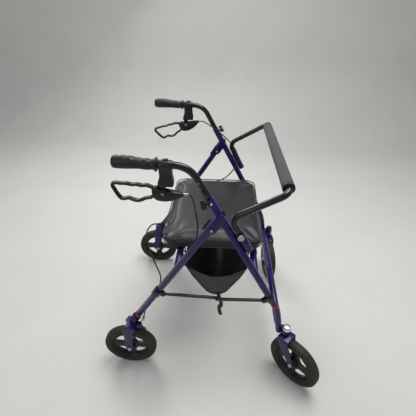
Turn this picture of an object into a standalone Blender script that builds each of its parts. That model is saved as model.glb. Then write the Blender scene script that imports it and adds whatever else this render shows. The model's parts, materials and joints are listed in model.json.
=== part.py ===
"""Four-wheeled folding walking frame (rollator) with seat, bag, backrest and loop brakes.

World frame, metres: +X to the user's right, +Y forwards (direction of travel), +Z up.
The origin is on the floor, under the middle of the object's box.  Every side frame lies in
a plane of constant X, so its pieces are drawn as (Y, Z) points and mirrored left to right.
"""

from math import atan2, cos, hypot, pi, radians, sin, tan

import bmesh
import bpy
from mathutils import Matrix, Vector

# ---------------------------------------------------------------- driving dimensions (m)

GAP = 0.0003                # clearance kept between pieces that touch
ORIGIN = (0.0416, -0.0315)  # middle of the whole box in plan; everything is moved by it at the end

SIDE_X = 0.2716             # plane of each side frame
LEG_R = 0.0111              # leg tubes, 22.2 mm
LEG_WALL = 0.0013
FRONT_TILT = radians(28.4)  # front leg from vertical
REAR_TILT = radians(33.0)   # rear leg from vertical
APEX_Z = 0.678              # where the leg axes of one side would cross, at Y = 0
FRONT_TOP_Z = 0.737
FRONT_BEND_Z = 0.312
FRONT_END = (0.2175, 0.200)
PIVOT_DROP = 0.042          # fold pivot below the crossing point, along the rear leg

HANDLE_R = 0.0095           # 19 mm telescoping handle tube
HANDLE_WALL = 0.0014
HANDLE_Z = 0.8265           # where the sloping and level runs of the handle would meet
GRIP_RISE = radians(2.2)
GRIP_END_Y = -0.266

WHEEL_R = 0.095
WHEEL_W = 0.032
REAR_AXLE_Y = -0.319
REAR_WHEEL_X = 0.282
STEM_X = {"right": 0.283, "left": -0.262}   # the left stem stands further in
STEM_Y = 0.240
TRAIL = 0.053
NEAR_SWIVEL = radians(45)   # direction of the right caster's trail, from +X
FAR_SWIVEL = radians(6)    # the left one's
CROWN_TOP = 0.1960
HOUSING_TOP = {"right": 0.2240, "left": 0.2340}

SEAT_X = 0.205
SEAT_Y = (-0.187, 0.140)
SEAT_TOP = 0.546
SEAT_BASE = 0.5115

FRONT_BAR = (0.1110, 0.4727)    # upper crossbar, and the seat's hinge axis
LOW_BAR = (0.2120, 0.232)
LOW_BAR_R = 0.0135
REAR_BAR = (-0.1273, 0.482)

SOCKET_OFFSET = 0.0229      # backrest sleeve axis in front of the leg axis
SLEEVE_R = 0.0114
BACK_CORNER_Z = 0.6739
BACK_TOP = (0.1750, 0.7572)
FOAM_R = 0.0172

LEVER_PIVOT = Vector((-0.150, 0.750))
LEFT_LEVER_DROP = radians(20)   # the left lever stands pushed down, in its parked place

# ---------------------------------------------------------------- scene set-up

for old in list(bpy.data.objects):
    bpy.data.objects.remove(old, do_unlink=True)


def new_collection(name):
    group = bpy.data.collections.new(name)
    bpy.context.scene.collection.children.link(group)
    return group


PARTS = new_collection("walking_frame")
CUTTERS = new_collection("cutters")


def material(name, colour, roughness, metallic=0.0):
    mat = bpy.data.materials.new(name)
    mat.use_nodes = True
    shader = mat.node_tree.nodes["Principled BSDF"]
    shader.inputs["Base Color"].default_value = (*colour, 1.0)
    shader.inputs["Roughness"].default_value = roughness
    shader.inputs["Metallic"].default_value = metallic
    return mat


# ---------------------------------------------------------------- small geometry tools

def direction(angle):
    """Unit (Y, Z) vector that leans back by angle as it goes up."""
    return Vector((-sin(angle), cos(angle)))


UP_FRONT = direction(FRONT_TILT)
UP_REAR = direction(-REAR_TILT)
FORWARD_OF_LEG = Vector((cos(FRONT_TILT), sin(FRONT_TILT)))


def front_axis(z):
    return Vector((-(z - APEX_Z) * tan(FRONT_TILT), z))


def rear_axis(z):
    return Vector(((z - APEX_Z) * tan(REAR_TILT), z))


PIVOT = Vector((0.0, APEX_Z)) - UP_REAR * PIVOT_DROP


def at(x, yz):
    """World point from a side-plane point."""
    return Vector((x, yz[0], yz[1]))


def rounded(points, radii, arc_points=6, closed=False):
    """Polyline with its corners replaced by arcs; works in two or three dimensions."""
    points = [Vector(p) for p in points]
    count = len(points)
    result = []
    for i, corner in enumerate(points):
        radius = radii[i] if isinstance(radii, (list, tuple)) else radii
        at_end = not closed and i in (0, count - 1)
        if at_end or radius <= 0.0:
            result.append(corner)
            continue
        before = (points[i - 1] - corner).normalized()
        after = (points[(i + 1) % count] - corner).normalized()
        half = before.angle(after) / 2
        middle = corner + (before + after).normalized() * (radius / sin(half))
        reach = radius / tan(half)
        start = corner + before * reach - middle
        end = corner + after * reach - middle
        sweep = start.angle(end)
        for k in range(arc_points + 1):
            t = k / arc_points
            spot = start * (sin((1 - t) * sweep) / sin(sweep)) + end * (sin(t * sweep) / sin(sweep))
            result.append(middle + spot)
    return result


def clear_of(radius, sides=12):
    """Radius of a many-sided hole whose flats keep the gap to a round piece."""
    return (radius + GAP) / cos(pi / sides)


def arc(centre, radius, start, end, steps):
    """Points round a centre, angles in radians from the first axis."""
    span = [start + (end - start) * k / steps for k in range(steps + 1)]
    return [Vector((centre[0] + radius * cos(a), centre[1] + radius * sin(a))) for a in span]


def stadium(first, second, radius, steps=5):
    """Outline of a bar with round ends between two points."""
    heading = atan2(second[1] - first[1], second[0] - first[0])
    far = arc(second, radius, heading - pi / 2, heading + pi / 2, steps)
    near = arc(first, radius, heading + pi / 2, heading + 3 * pi / 2, steps)
    return far + near


# ---------------------------------------------------------------- object makers

def place(mesh, name, matrix=None, group=CUTTERS):
    obj = bpy.data.objects.new(name, mesh)
    group.objects.link(obj)
    if matrix is not None:
        obj.matrix_world = matrix
    return obj


def weld(mesh, distance=0.00001):
    bm = bmesh.new()
    bm.from_mesh(mesh)
    bmesh.ops.remove_doubles(bm, verts=bm.verts, dist=distance)
    bmesh.ops.recalc_face_normals(bm, faces=bm.faces)
    bm.to_mesh(mesh)
    bm.free()


def from_curve(curve, name, matrix=None):
    """Mesh object from a curve, with its caps welded on."""
    source = bpy.data.objects.new(name + "_curve", curve)
    CUTTERS.objects.link(source)
    if matrix is not None:
        source.matrix_world = matrix
    bpy.context.view_layer.update()
    graph = bpy.context.evaluated_depsgraph_get()
    mesh = bpy.data.meshes.new_from_object(source.evaluated_get(graph))
    weld(mesh)
    obj = place(mesh, name, source.matrix_world.copy())
    bpy.data.objects.remove(source, do_unlink=True)
    bpy.data.curves.remove(curve)
    return obj


def tube(name, points, radius, sides=12, closed=False, thickness=None):
    """Round bar along points; thickness gives each point's share of the radius."""
    curve = bpy.data.curves.new(name, "CURVE")
    curve.dimensions = "3D"
    curve.bevel_depth = radius
    curve.bevel_resolution = (sides - 4) // 2
    curve.use_fill_caps = not closed
    spline = curve.splines.new("POLY")
    spline.points.add(len(points) - 1)
    for i, point in enumerate(points):
        spline.points[i].co = (*point, 1.0)
        spline.points[i].radius = thickness[i] if thickness else 1.0
    spline.use_cyclic_u = closed
    return from_curve(curve, name)


def plate(name, outline, x, width):
    """Side-plane outline filled and thickened along X, centred on x."""
    curve = bpy.data.curves.new(name, "CURVE")
    curve.dimensions = "2D"
    curve.fill_mode = "BOTH"
    curve.extrude = width / 2
    spline = curve.splines.new("POLY")
    spline.points.add(len(outline) - 1)
    for point, (u, v) in zip(spline.points, outline):
        point.co = (u, v, 0.0, 1.0)
    spline.use_cyclic_u = True
    turn = Matrix(((0, 0, 1, x), (1, 0, 0, 0), (0, 1, 0, 0), (0, 0, 0, 1)))
    return from_curve(curve, name, turn)


def rod(name, start, end, radius, sides=24, end_radius=None):
    """Straight cylinder or cone between two world points."""
    start, end = Vector(start), Vector(end)
    mesh = bpy.data.meshes.new(name)
    bm = bmesh.new()
    bmesh.ops.create_cone(bm, cap_ends=True, segments=sides, radius1=radius,
                          radius2=radius if end_radius is None else end_radius,
                          depth=(end - start).length)
    bm.to_mesh(mesh)
    bm.free()
    turn = Vector((0, 0, 1)).rotation_difference(end - start).to_matrix().to_4x4()
    return place(mesh, name, Matrix.Translation((start + end) / 2) @ turn)


def block(name, low, high):
    mesh = bpy.data.meshes.new(name)
    bm = bmesh.new()
    bmesh.ops.create_cube(bm, size=1.0)
    size = Vector(high) - Vector(low)
    bmesh.ops.scale(bm, vec=size, verts=bm.verts)
    bm.to_mesh(mesh)
    bm.free()
    return place(mesh, name, Matrix.Translation((Vector(high) + Vector(low)) / 2))


def turned(name, profile, steps=32):
    """Profile of (radius, height) pairs, listed down its outer side, spun round local Z."""
    mesh = bpy.data.meshes.new(name)
    edges = [(i, i + 1) for i in range(len(profile) - 1)]
    ring = profile[0] == profile[-1]
    points = profile[:-1] if ring else profile
    if ring:
        edges[-1] = (len(points) - 1, 0)
    mesh.from_pydata([(r, 0.0, h) for r, h in points], edges, [])
    obj = place(mesh, name)
    screw = obj.modifiers.new("spin", "SCREW")
    screw.steps = steps
    screw.render_steps = steps
    screw.use_merge_vertices = True
    screw.merge_threshold = 0.00001
    screw.use_smooth_shade = True
    return obj


def combine(base, other, operation):
    other.hide_render = True
    other.display_type = "WIRE"
    modifier = base.modifiers.new(operation.lower(), "BOOLEAN")
    modifier.operation = operation
    modifier.object = other
    modifier.solver = "EXACT"
    return base


def cut(base, *others):
    for other in others:
        combine(base, other, "DIFFERENCE")
    return base


def join(base, *others):
    for other in others:
        combine(base, other, "UNION")
    return base


def finish(obj, name, mat, mount=None, smooth=True):
    """Name a piece, give it its material and put it with the parts."""
    CUTTERS.objects.unlink(obj)
    PARTS.objects.link(obj)
    obj.name = name
    obj.data.name = name
    obj.data.materials.clear()
    obj.data.materials.append(mat)
    if smooth:
        obj.data.shade_smooth()
        obj.data.set_sharp_from_angle(angle=radians(35))
    if mount is not None:
        obj.parent = mount
        obj.matrix_parent_inverse = mount.matrix_world.inverted()
    return obj


def joint(name, point, parent=None):
    """Empty on a joint's axis, which carries the pieces that move about it."""
    empty = bpy.data.objects.new(name, None)
    PARTS.objects.link(empty)
    empty.empty_display_size = 0.02
    empty.location = point
    bpy.context.view_layer.update()
    if parent is not None:
        empty.parent = parent
        empty.matrix_parent_inverse = parent.matrix_world.inverted()
        bpy.context.view_layer.update()
    return empty


def across(name, x0, x1, yz, radius, sides=16):
    """Cylinder along X through a side-plane point."""
    return rod(name, at(x0, yz), at(x1, yz), radius, sides)


# ---------------------------------------------------------------- materials

BLUE = material("blue_paint", (0.045, 0.03, 0.24), 0.32, 0.25)
BLACK_PAINT = material("black_paint", (0.012, 0.012, 0.014), 0.28, 0.1)
STEEL = material("zinc_steel", (0.62, 0.62, 0.60), 0.3, 1.0)
GRIP_RUBBER = material("grip_rubber", (0.035, 0.037, 0.037), 0.6)
BLACK_PLASTIC = material("black_plastic", (0.025, 0.025, 0.028), 0.42)
TYRE = material("tyre_grey", (0.13, 0.12, 0.085), 0.75)
VINYL = material("seat_vinyl", (0.06, 0.065, 0.07), 0.5)
FOAM = material("back_foam", (0.11, 0.115, 0.12), 0.85)
BAG_CLOTH = material("bag_cloth", (0.015, 0.015, 0.017), 0.55)
CABLE = material("cable_sheath", (0.02, 0.02, 0.02), 0.45)

SIDES = (("right", 1), ("left", -1))

# ---------------------------------------------------------------- front frame

FRONT_TOP = front_axis(FRONT_TOP_Z)
FRONT_BEND = front_axis(FRONT_BEND_Z)


def front_leg(side, s):
    """Sloping leg tube, bent upright near the floor, with a bore for the handle tube."""
    x = s * SIDE_X
    path = rounded([FRONT_TOP, FRONT_BEND, FRONT_END], [0, 0.16, 0], 3)
    leg = tube("leg", [at(x, p) for p in path], LEG_R, 14)
    above = FRONT_TOP + UP_FRONT * 0.01
    floor = Vector(FRONT_END) + Vector((-0.0003, 0.004))
    bore_path = rounded([above, FRONT_BEND, floor], [0, 0.16, 0], 3)
    bore = tube("leg_bore", [at(x, p) for p in bore_path], LEG_R - LEG_WALL, 14)
    knob_hole = rod("knob_hole", knob_point(s, -0.03), knob_point(s, 0.0), 0.0036, 8)
    cut(leg, bore, knob_hole)
    return finish(leg, "front_leg_" + side, BLUE)


KNOB_Z = 0.7240


def knob_axis(s):
    """The right knob points backwards from the leg, the left one forwards."""
    return -s * FORWARD_OF_LEG


def knob_point(s, distance):
    """Point on the clamp knob's axis; negative distance is outwards from the leg."""
    return at(s * SIDE_X, front_axis(KNOB_Z) - knob_axis(s) * distance)


def crossbar(name, yz, radius, reach, mount=None):
    bar = tube("bar", [at(-reach, yz), at(reach, yz)], radius, 14)
    bore = tube("bar_bore", [at(-reach - 0.01, yz), at(reach + 0.01, yz)], radius - LEG_WALL, 10)
    cut(bar, bore)
    return finish(bar, name, BLUE, mount)


INNER_FACE = SIDE_X - LEG_R - GAP


def pivot_bracket(side, s):
    """Channel welded behind the front leg; the rear leg's top turns on the pin inside it."""
    x = s * SIDE_X
    half_height = LEG_R + 0.0031
    shape = plate("bracket", stadium((0.0, APEX_Z), PIVOT, half_height), x, 0.0284)
    low = stadium(Vector((0.0, APEX_Z)) + UP_REAR * 0.05, PIVOT - UP_REAR * 0.05, LEG_R + 0.0006)
    shift = Vector((cos(REAR_TILT), -sin(REAR_TILT)))
    opening = [p + shift * (0.02 if (p - PIVOT).dot(shift) > 0 else 0.0) for p in low]
    slot = plate("bracket_slot", opening, x, 2 * (LEG_R + 0.0006))
    leg_space = rod("leg_space", at(x, front_axis(0.60)), at(x, front_axis(0.76)), clear_of(LEG_R, 14), 14)
    pin = across("fold_pin", x - 0.0178, x + 0.0178, PIVOT, 0.0035, 8)
    heads = [across("head", x + e * 0.0135, x + e * 0.0178, PIVOT, 0.0068, 10) for e in (-1, 1)]
    cut(shape, slot, leg_space)
    join(shape, pin, *heads)
    return finish(shape, "fold_bracket_" + side, BLUE)


def backrest_socket(side, s):
    """Sleeve welded in front of the leg, open at its top for the backrest arm."""
    x = s * SIDE_X
    top = sleeve_axis(0.629)
    bottom = sleeve_axis(0.565)
    sleeve = rod("sleeve", at(x, bottom), at(x, top), SLEEVE_R, 16)
    bore = rod("sleeve_bore", at(x, bottom + UP_FRONT * 0.004), at(x, top + UP_FRONT * 0.01),
               clear_of(HANDLE_R, 12), 12)
    hole = across("screw_hole", x + s * 0.006, x + s * 0.02, sleeve_axis(SCREW_Z), 0.0036, 8)
    cut(sleeve, bore, hole)
    return finish(sleeve, "backrest_socket_" + side, BLUE)


SCREW_Z = 0.6185


def sleeve_axis(z):
    """Point of the backrest sleeve's axis at height z."""
    base = front_axis(z) + FORWARD_OF_LEG * SOCKET_OFFSET
    return base - UP_FRONT * ((base[1] - z) / UP_FRONT[1])


def stem_housing(side, s):
    """Upright caster bearing tube on an arm from the foot of the leg."""
    foot = (STEM_X[side], STEM_Y)
    shell = rod("housing", (*foot, CROWN_TOP + 0.0015), (*foot, HOUSING_TOP[side]), 0.0145, 18)
    arm = block("housing_arm", (s * SIDE_X - 0.008, LOW_BAR[0], 0.201),
                (s * SIDE_X + 0.008, STEM_Y - 0.006, HOUSING_TOP[side] - 0.002))
    lower_run = (Vector(FRONT_END) - FRONT_BEND).normalized()
    leg_space = rod("leg_space", at(s * SIDE_X, Vector(FRONT_END) + lower_run * 0.02),
                    at(s * SIDE_X, Vector(FRONT_END) - lower_run * 0.06), clear_of(LEG_R, 16), 16)
    bore = rod("stem_bore", (*foot, 0.19), (*foot, 0.25), clear_of(0.0058, 10), 10)
    join(shell, arm)
    cut(shell, leg_space, bore)
    return finish(shell, "caster_housing_" + side, BLUE)


# ---------------------------------------------------------------- side braces

BRACE_OFFSET = 0.0215       # brace pivots off the leg axes
LINK_R = 0.0058
LINK_W = 0.005
LINK_SHIFT = 0.0028         # the two links of a brace lie side by side
FRONT_FOOT_Z = 0.367
REAR_FOOT_Z = 0.373
BRACE_FRONT = front_axis(FRONT_FOOT_Z) - FORWARD_OF_LEG * BRACE_OFFSET
BRACE_REAR = rear_axis(REAR_FOOT_Z) + Vector((cos(REAR_TILT), -sin(REAR_TILT))) * BRACE_OFFSET
BRACE_MIDDLE = Vector((-0.003, 0.352))


def brace_bracket(name, s, foot, along, pivot, shift, mount):
    """Collar round a leg with a forked ear that carries one end of a brace link."""
    x = s * SIDE_X
    collar = rod("collar", at(x, foot - along * 0.014), at(x, foot + along * 0.014), 0.0148, 14)
    ear = plate("ear", stadium(foot, pivot, 0.0078, 4), x + s * shift, 0.0125)
    space = rod("leg_space", at(x, foot - along * 0.05), at(x, foot + along * 0.05),
                clear_of(LEG_R, 14), 14)
    beyond = pivot + (pivot - foot)
    inner = foot + (pivot - foot) * ((0.0146 - LINK_R + 0.006) / BRACE_OFFSET)
    slot = plate("ear_slot", stadium(inner, beyond, 0.0082, 3), x + s * shift, LINK_W + 2 * GAP)
    pin = across("ear_pin", x + s * shift - 0.0075, x + s * shift + 0.0075, pivot, 0.0026, 8)
    join(collar, ear)
    cut(collar, space, slot)
    join(collar, pin)
    return finish(collar, name, BLACK_PAINT, mount)


def brace_link(name, s, start, shift, mount):
    """Flat link from its bracket's pin to the middle hinge, with a rivet head at its free end."""
    x = s * (SIDE_X + shift)
    link = plate("link", stadium(start, BRACE_MIDDLE, LINK_R, 4), x, LINK_W)
    hole = across("link_hole", x - 0.01, x + 0.01, start, clear_of(0.0026, 8), 8)
    outward = 1 if shift > 0 else -1
    rivet = across("rivet", x, x + s * outward * (LINK_W / 2 + 0.002), BRACE_MIDDLE, 0.0042, 8)
    cut(link, hole)
    join(link, rivet)
    return finish(link, name, BLACK_PAINT, mount)


# ---------------------------------------------------------------- rear frame

def rear_leg(side, s, mount):
    """Rear leg with a rounded, drilled top, cut square where it stands on its fork's crown."""
    x = s * SIDE_X
    foot = REAR_CROWN + UP_REAR * GAP
    leg = tube("leg", [at(x, PIVOT), at(x, foot)], LEG_R, 14)
    cap = across("leg_top", x - LEG_R, x + LEG_R, PIVOT, LEG_R, 16)
    bore = tube("leg_bore", [at(x, PIVOT - UP_REAR * 0.025), at(x, foot - UP_REAR * 0.02)],
                LEG_R - LEG_WALL, 10)
    hole = across("pin_hole", x - 0.02, x + 0.02, PIVOT, clear_of(0.0035, 8), 8)
    join(leg, cap)
    cut(leg, bore, hole)
    return finish(leg, "rear_leg_" + side, BLUE, mount)


FORK_HALF = 0.0230
FORK_SHEET = 0.0030
SHOE_PIVOT = Vector((-0.2730, 0.2125))
REAR_CROWN = rear_axis(0.2170)
ACROSS_REAR = Vector((cos(REAR_TILT), -sin(REAR_TILT)))


def fork_side(top_back, top_front, shoulder_back, shoulder_front, axle):
    """Side of a fork: broad under its crown, tapering to a round end at the axle."""
    middle = (Vector(top_back) + Vector(top_front)) / 2
    heading = atan2(middle[1] - axle[1], middle[0] - axle[0])
    around = arc(axle, 0.0115, heading + pi * 0.55, heading + pi * 1.45, 7)
    return [Vector(top_front), Vector(shoulder_front), *around[::-1], Vector(shoulder_back),
            Vector(top_back)]


def rear_fork(side, s, mount):
    """Fork square to the rear leg, with a collar round the leg and a lug for the brake arm."""
    x = s * REAR_WHEEL_X
    axle = (REAR_AXLE_Y, WHEEL_R)
    back = REAR_CROWN - ACROSS_REAR * 0.0195
    front = REAR_CROWN + ACROSS_REAR * 0.0195
    outline = fork_side(back, front, back - UP_REAR * 0.026, front - UP_REAR * 0.020, axle)
    fork = plate("fork", outline, x, 2 * FORK_HALF)
    under = [back - ACROSS_REAR * 0.05 - UP_REAR * 0.004, front + ACROSS_REAR * 0.05 - UP_REAR * 0.004,
             front + ACROSS_REAR * 0.05 - UP_REAR * 0.20, back - ACROSS_REAR * 0.05 - UP_REAR * 0.20]
    gap = plate("fork_gap", under, x, 2 * (FORK_HALF - FORK_SHEET))
    holes = across("axle_holes", x - 0.04, x + 0.04, axle, clear_of(0.005), 12)
    collar = rod("collar", at(s * SIDE_X, REAR_CROWN - UP_REAR * 0.002),
                 at(s * SIDE_X, REAR_CROWN + UP_REAR * 0.034), 0.0150, 18)
    lug = plate("lug", stadium(front - ACROSS_REAR * 0.008 - UP_REAR * 0.002, SHOE_PIVOT, 0.0068, 4),
                x, 0.0165)
    lug_slot = block("lug_slot", (x - 0.0043, SHOE_PIVOT[0] - 0.0105, 0.15),
                     (x + 0.0043, -0.20, 0.24))
    leg_space = rod("leg_space", at(s * SIDE_X, REAR_CROWN), at(s * SIDE_X, REAR_CROWN + UP_REAR * 0.08),
                    clear_of(LEG_R, 14), 14)
    pin = across("shoe_pin", x - 0.0105, x + 0.0105, SHOE_PIVOT, 0.0026, 8)
    cut(fork, gap)
    join(fork, collar, lug)
    cut(fork, lug_slot, holes, leg_space)
    join(fork, pin)
    return finish(fork, "rear_fork_" + side, BLUE, mount)


def brake_arm(side, s, mount, pressed):
    """Small arm with a shoe that is pulled against the tyre."""
    x = s * REAR_WHEEL_X
    shoe_angle = radians(58)
    clear = WHEEL_R + 0.0022
    face = [Vector((REAR_AXLE_Y + clear * cos(a), WHEEL_R + clear * sin(a)))
            for a in (shoe_angle + radians(6), shoe_angle, shoe_angle - radians(6))]
    out = Vector((cos(shoe_angle), sin(shoe_angle))) * 0.008
    outline = [SHOE_PIVOT + Vector((-0.006, 0.004)), *face, face[2] + out,
               SHOE_PIVOT + Vector((0.0065, -0.004)), SHOE_PIVOT + Vector((0.005, 0.005))]
    arm = plate("arm", outline, x, 0.008)
    pad = plate("pad", [*face, face[2] + out, face[0] + out], x, 0.022)
    hole = across("arm_hole", x - 0.02, x + 0.02, SHOE_PIVOT, clear_of(0.0026, 8), 8)
    join(arm, pad)
    cut(arm, hole)
    if pressed:
        turn_about((arm, pad, hole), at(x, SHOE_PIVOT), radians(-1.7))
    return finish(arm, "brake_shoe_" + side, BLACK_PLASTIC, mount)


# ---------------------------------------------------------------- wheels

RIM_R = 0.0735
WHEEL_SIDES = 24
HUB_SIDES = 16


def spin_to(obj, centre, angle):
    """Lay a turned piece's own Z axis along the horizontal direction at angle from +X."""
    turn = Matrix.Rotation(angle, 4, "Z") @ Matrix.Rotation(pi / 2, 4, "Y")
    obj.matrix_world = Matrix.Translation(centre) @ turn
    return obj


def tyre(name, centre, angle, mount):
    """Solid tyre with rounded shoulders and a narrow flat tread."""
    w = WHEEL_W / 2
    profile = [(WHEEL_R, w * 0.5), (WHEEL_R, -w * 0.5), (WHEEL_R - 0.007, -w), (RIM_R, -w * 0.94),
               (RIM_R, w * 0.94), (WHEEL_R - 0.007, w), (WHEEL_R, w * 0.5)]
    body = turned("tyre", profile, WHEEL_SIDES)
    spin_to(body, centre, angle)
    return finish(body, name, TYRE, mount)


def hub(name, centre, angle, mount):
    """Moulded hub: rim, thin web with four kidney windows, and a boss for the axle."""
    rim = RIM_R * cos(pi / WHEEL_SIDES) - GAP
    bore = clear_of(0.005, HUB_SIDES)
    profile = [(rim, 0.0125), (rim, -0.0125), (rim - 0.006, -0.0125), (rim - 0.009, -0.0045),
               (0.019, -0.0045), (0.017, -0.017), (bore, -0.017), (bore, 0.017),
               (0.017, 0.017), (0.019, 0.0045), (rim - 0.009, 0.0045), (rim - 0.006, 0.0125),
               (rim, 0.0125)]
    body = turned("hub", profile, HUB_SIDES)
    spin_to(body, centre, angle)
    frame = body.matrix_world.copy()
    for k in range(4):
        middle = k * pi / 2 + pi / 4
        outer = arc((0, 0), 0.058, middle - 0.52, middle + 0.52, 3)
        inner = arc((0, 0), 0.031, middle + 0.36, middle - 0.36, 1)
        window = plate("window", outer + inner, 0.0, 0.03)
        window.matrix_world = frame @ Matrix.Rotation(-pi / 2, 4, "Y") @ window.matrix_world
        cut(body, window)
    return finish(body, name, BLACK_PLASTIC, mount)


def axle_bolt(name, centre, angle, half, mount):
    """Bolt through fork and hub with a domed head and a nut."""
    out = Vector((cos(angle), sin(angle), 0.0))
    bolt = rod("bolt", centre - out * (half + 0.004), centre + out * (half + 0.004), 0.005, 10)
    face = half + 0.0004
    head = rod("head", centre + out * face, centre + out * (face + 0.0055), 0.0088, 10, 0.0055)
    nut = rod("nut", centre - out * face, centre - out * (face + 0.006), 0.0085, 6)
    join(bolt, head, nut)
    return finish(bolt, name, STEEL, mount)


# ---------------------------------------------------------------- casters

def caster(side, s, swivel):
    """Swivelling fork with its stem, its wheel, and the nut or cap over the stem."""
    foot = Vector((STEM_X[side], STEM_Y, 0.0))
    trail = Vector((cos(swivel), sin(swivel), 0.0))
    mount = joint("caster_axis_" + side, foot + Vector((0, 0, CROWN_TOP)))
    outline = fork_side((-0.0150, CROWN_TOP), (0.0270, CROWN_TOP), (-0.0125, CROWN_TOP - 0.024),
                        (0.0290, CROWN_TOP - 0.020), (TRAIL, WHEEL_R))
    fork = plate("fork", outline, 0.0, 2 * FORK_HALF)
    gap = block("fork_gap", (-FORK_HALF + FORK_SHEET, -0.10, 0.0),
                (FORK_HALF - FORK_SHEET, 0.12, CROWN_TOP - 0.004))
    holes = rod("axle_holes", (-0.04, TRAIL, WHEEL_R), (0.04, TRAIL, WHEEL_R), clear_of(0.005), 12)
    stem = rod("stem", (0, 0, CROWN_TOP - 0.002), (0, 0, HOUSING_TOP[side] + 0.0135), 0.0058, 10)
    turn = Matrix.Translation(foot) @ Matrix.Rotation(swivel - pi / 2, 4, "Z")
    fork.matrix_world = turn @ fork.matrix_world
    for piece in (gap, holes, stem):
        piece.matrix_world = turn @ piece.matrix_world
    cut(fork, gap, holes)
    join(fork, stem)
    finish(fork, "caster_fork_" + side, BLUE, mount)

    centre = foot + trail * TRAIL + Vector((0, 0, WHEEL_R))
    axle_angle = swivel - pi / 2
    wheel_mount = joint("caster_wheel_axis_" + side, centre, mount)
    tyre("front_tyre_" + side, centre, axle_angle, wheel_mount)
    hub("front_hub_" + side, centre, axle_angle, wheel_mount)
    axle_bolt("front_axle_bolt_" + side, centre, axle_angle, FORK_HALF, mount)

    top = foot + Vector((0, 0, HOUSING_TOP[side] + 0.0005))
    if s > 0:
        nut = rod("nut", top, top + Vector((0, 0, 0.003)), 0.0135, 18)
        hexagon = rod("hexagon", top + Vector((0, 0, 0.002)), top + Vector((0, 0, 0.0145)), 0.0122, 6)
        space = rod("stem_space", top - Vector((0, 0, 0.01)), top + Vector((0, 0, 0.0134)),
                    clear_of(0.0058, 10), 10)
        join(nut, hexagon)
        cut(nut, space)
        finish(nut, "stem_nut_right", STEEL, mount)
    else:
        profile = [(0.0, 0.0250), (0.0060, 0.0238), (0.0110, 0.0198), (0.0138, 0.0135),
                   (0.0145, 0.0), (0.0120, 0.0), (0.0115, 0.0145), (0.0, 0.0165)]
        cap = turned("cap", profile, 16)
        cap.matrix_world = Matrix.Translation(top)
        finish(cap, "stem_cap_left", BLACK_PLASTIC)


# ---------------------------------------------------------------- seat and bag

def plan_outline(low, high, radius, arc_points=5):
    """Rounded rectangle in plan, as (X, Y) points."""
    corners = [(low[0], low[1]), (high[0], low[1]), (high[0], high[1]), (low[0], high[1])]
    return rounded(corners, radius, arc_points, closed=True)


def slab(name, outline, low, high):
    """Plan outline thickened between two heights."""
    curve = bpy.data.curves.new(name, "CURVE")
    curve.dimensions = "2D"
    curve.fill_mode = "BOTH"
    curve.extrude = (high - low) / 2
    spline = curve.splines.new("POLY")
    spline.points.add(len(outline) - 1)
    for point, (u, v) in zip(spline.points, outline):
        point.co = (u, v, 0.0, 1.0)
    spline.use_cyclic_u = True
    return from_curve(curve, name, Matrix.Translation((0, 0, (low + high) / 2)))


def seat(mount):
    """Padded cushion on a board that hinges on the upper crossbar."""
    cushion = slab("cushion", plan_outline((-SEAT_X, SEAT_Y[0]), (SEAT_X, SEAT_Y[1]), 0.036),
                   SEAT_BASE, SEAT_TOP)
    bevel = cushion.modifiers.new("soft_edge", "BEVEL")
    bevel.width = 0.007
    bevel.segments = 2
    bevel.angle_limit = radians(50)
    finish(cushion, "seat_cushion", VINYL, mount)

    low = SEAT_BASE - 0.0085
    inset = 0.010
    board = slab("board", plan_outline((-SEAT_X + inset, SEAT_Y[0] + inset),
                                       (SEAT_X - inset, SEAT_Y[1] - inset), 0.028, 2),
                 low, SEAT_BASE - GAP)
    for e in (-1, 1):
        x = e * 0.130
        knuckle = across("knuckle", x - 0.015, x + 0.015, FRONT_BAR, LEG_R + 0.0040, 14)
        web = block("web", (x - 0.015, FRONT_BAR[0] - 0.009, FRONT_BAR[1] + 0.004),
                    (x + 0.015, FRONT_BAR[0] + 0.009, low + 0.003))
        pad = block("pad", (e * 0.105 - 0.015, REAR_BAR[0] - 0.010, REAR_BAR[1] + LEG_R + GAP),
                    (e * 0.105 + 0.015, REAR_BAR[0] + 0.010, low + 0.003))
        join(board, knuckle, web, pad)
    bar_space = across("bar_space", -0.18, 0.18, FRONT_BAR, clear_of(LEG_R, 14), 14)
    cut(board, bar_space)
    finish(board, "seat_board", BLACK_PLASTIC, mount)


BAG_X = 0.200


def bag():
    """Open-topped cloth pouch that narrows to a rounded bottom, hung between the crossbars."""
    outline = rounded([(-0.116, 0.428), (-0.024, 0.284), (0.018, 0.281), (0.096, 0.422)],
                      [0, 0.012, 0.012, 0], 3)
    inner = rounded([(-0.1188, 0.438), (-0.0226, 0.2875), (0.0165, 0.2845), (0.1014, 0.438)],
                    [0, 0.010, 0.010, 0], 3)
    shell = plate("bag", outline, 0.0, 2 * BAG_X)
    hollow = plate("bag_inside", inner, 0.0, 2 * BAG_X - 0.006)
    cut(shell, hollow)
    return finish(shell, "tote_bag", BAG_CLOTH)


# ---------------------------------------------------------------- handles and brakes

LEVEL = Vector((-cos(GRIP_RISE), sin(GRIP_RISE)))


def handle_line(y):
    """Point of the level part of the handle's axis at a given Y."""
    start = front_axis(HANDLE_Z)
    return start + LEVEL * ((y - start[0]) / LEVEL[0])


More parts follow.
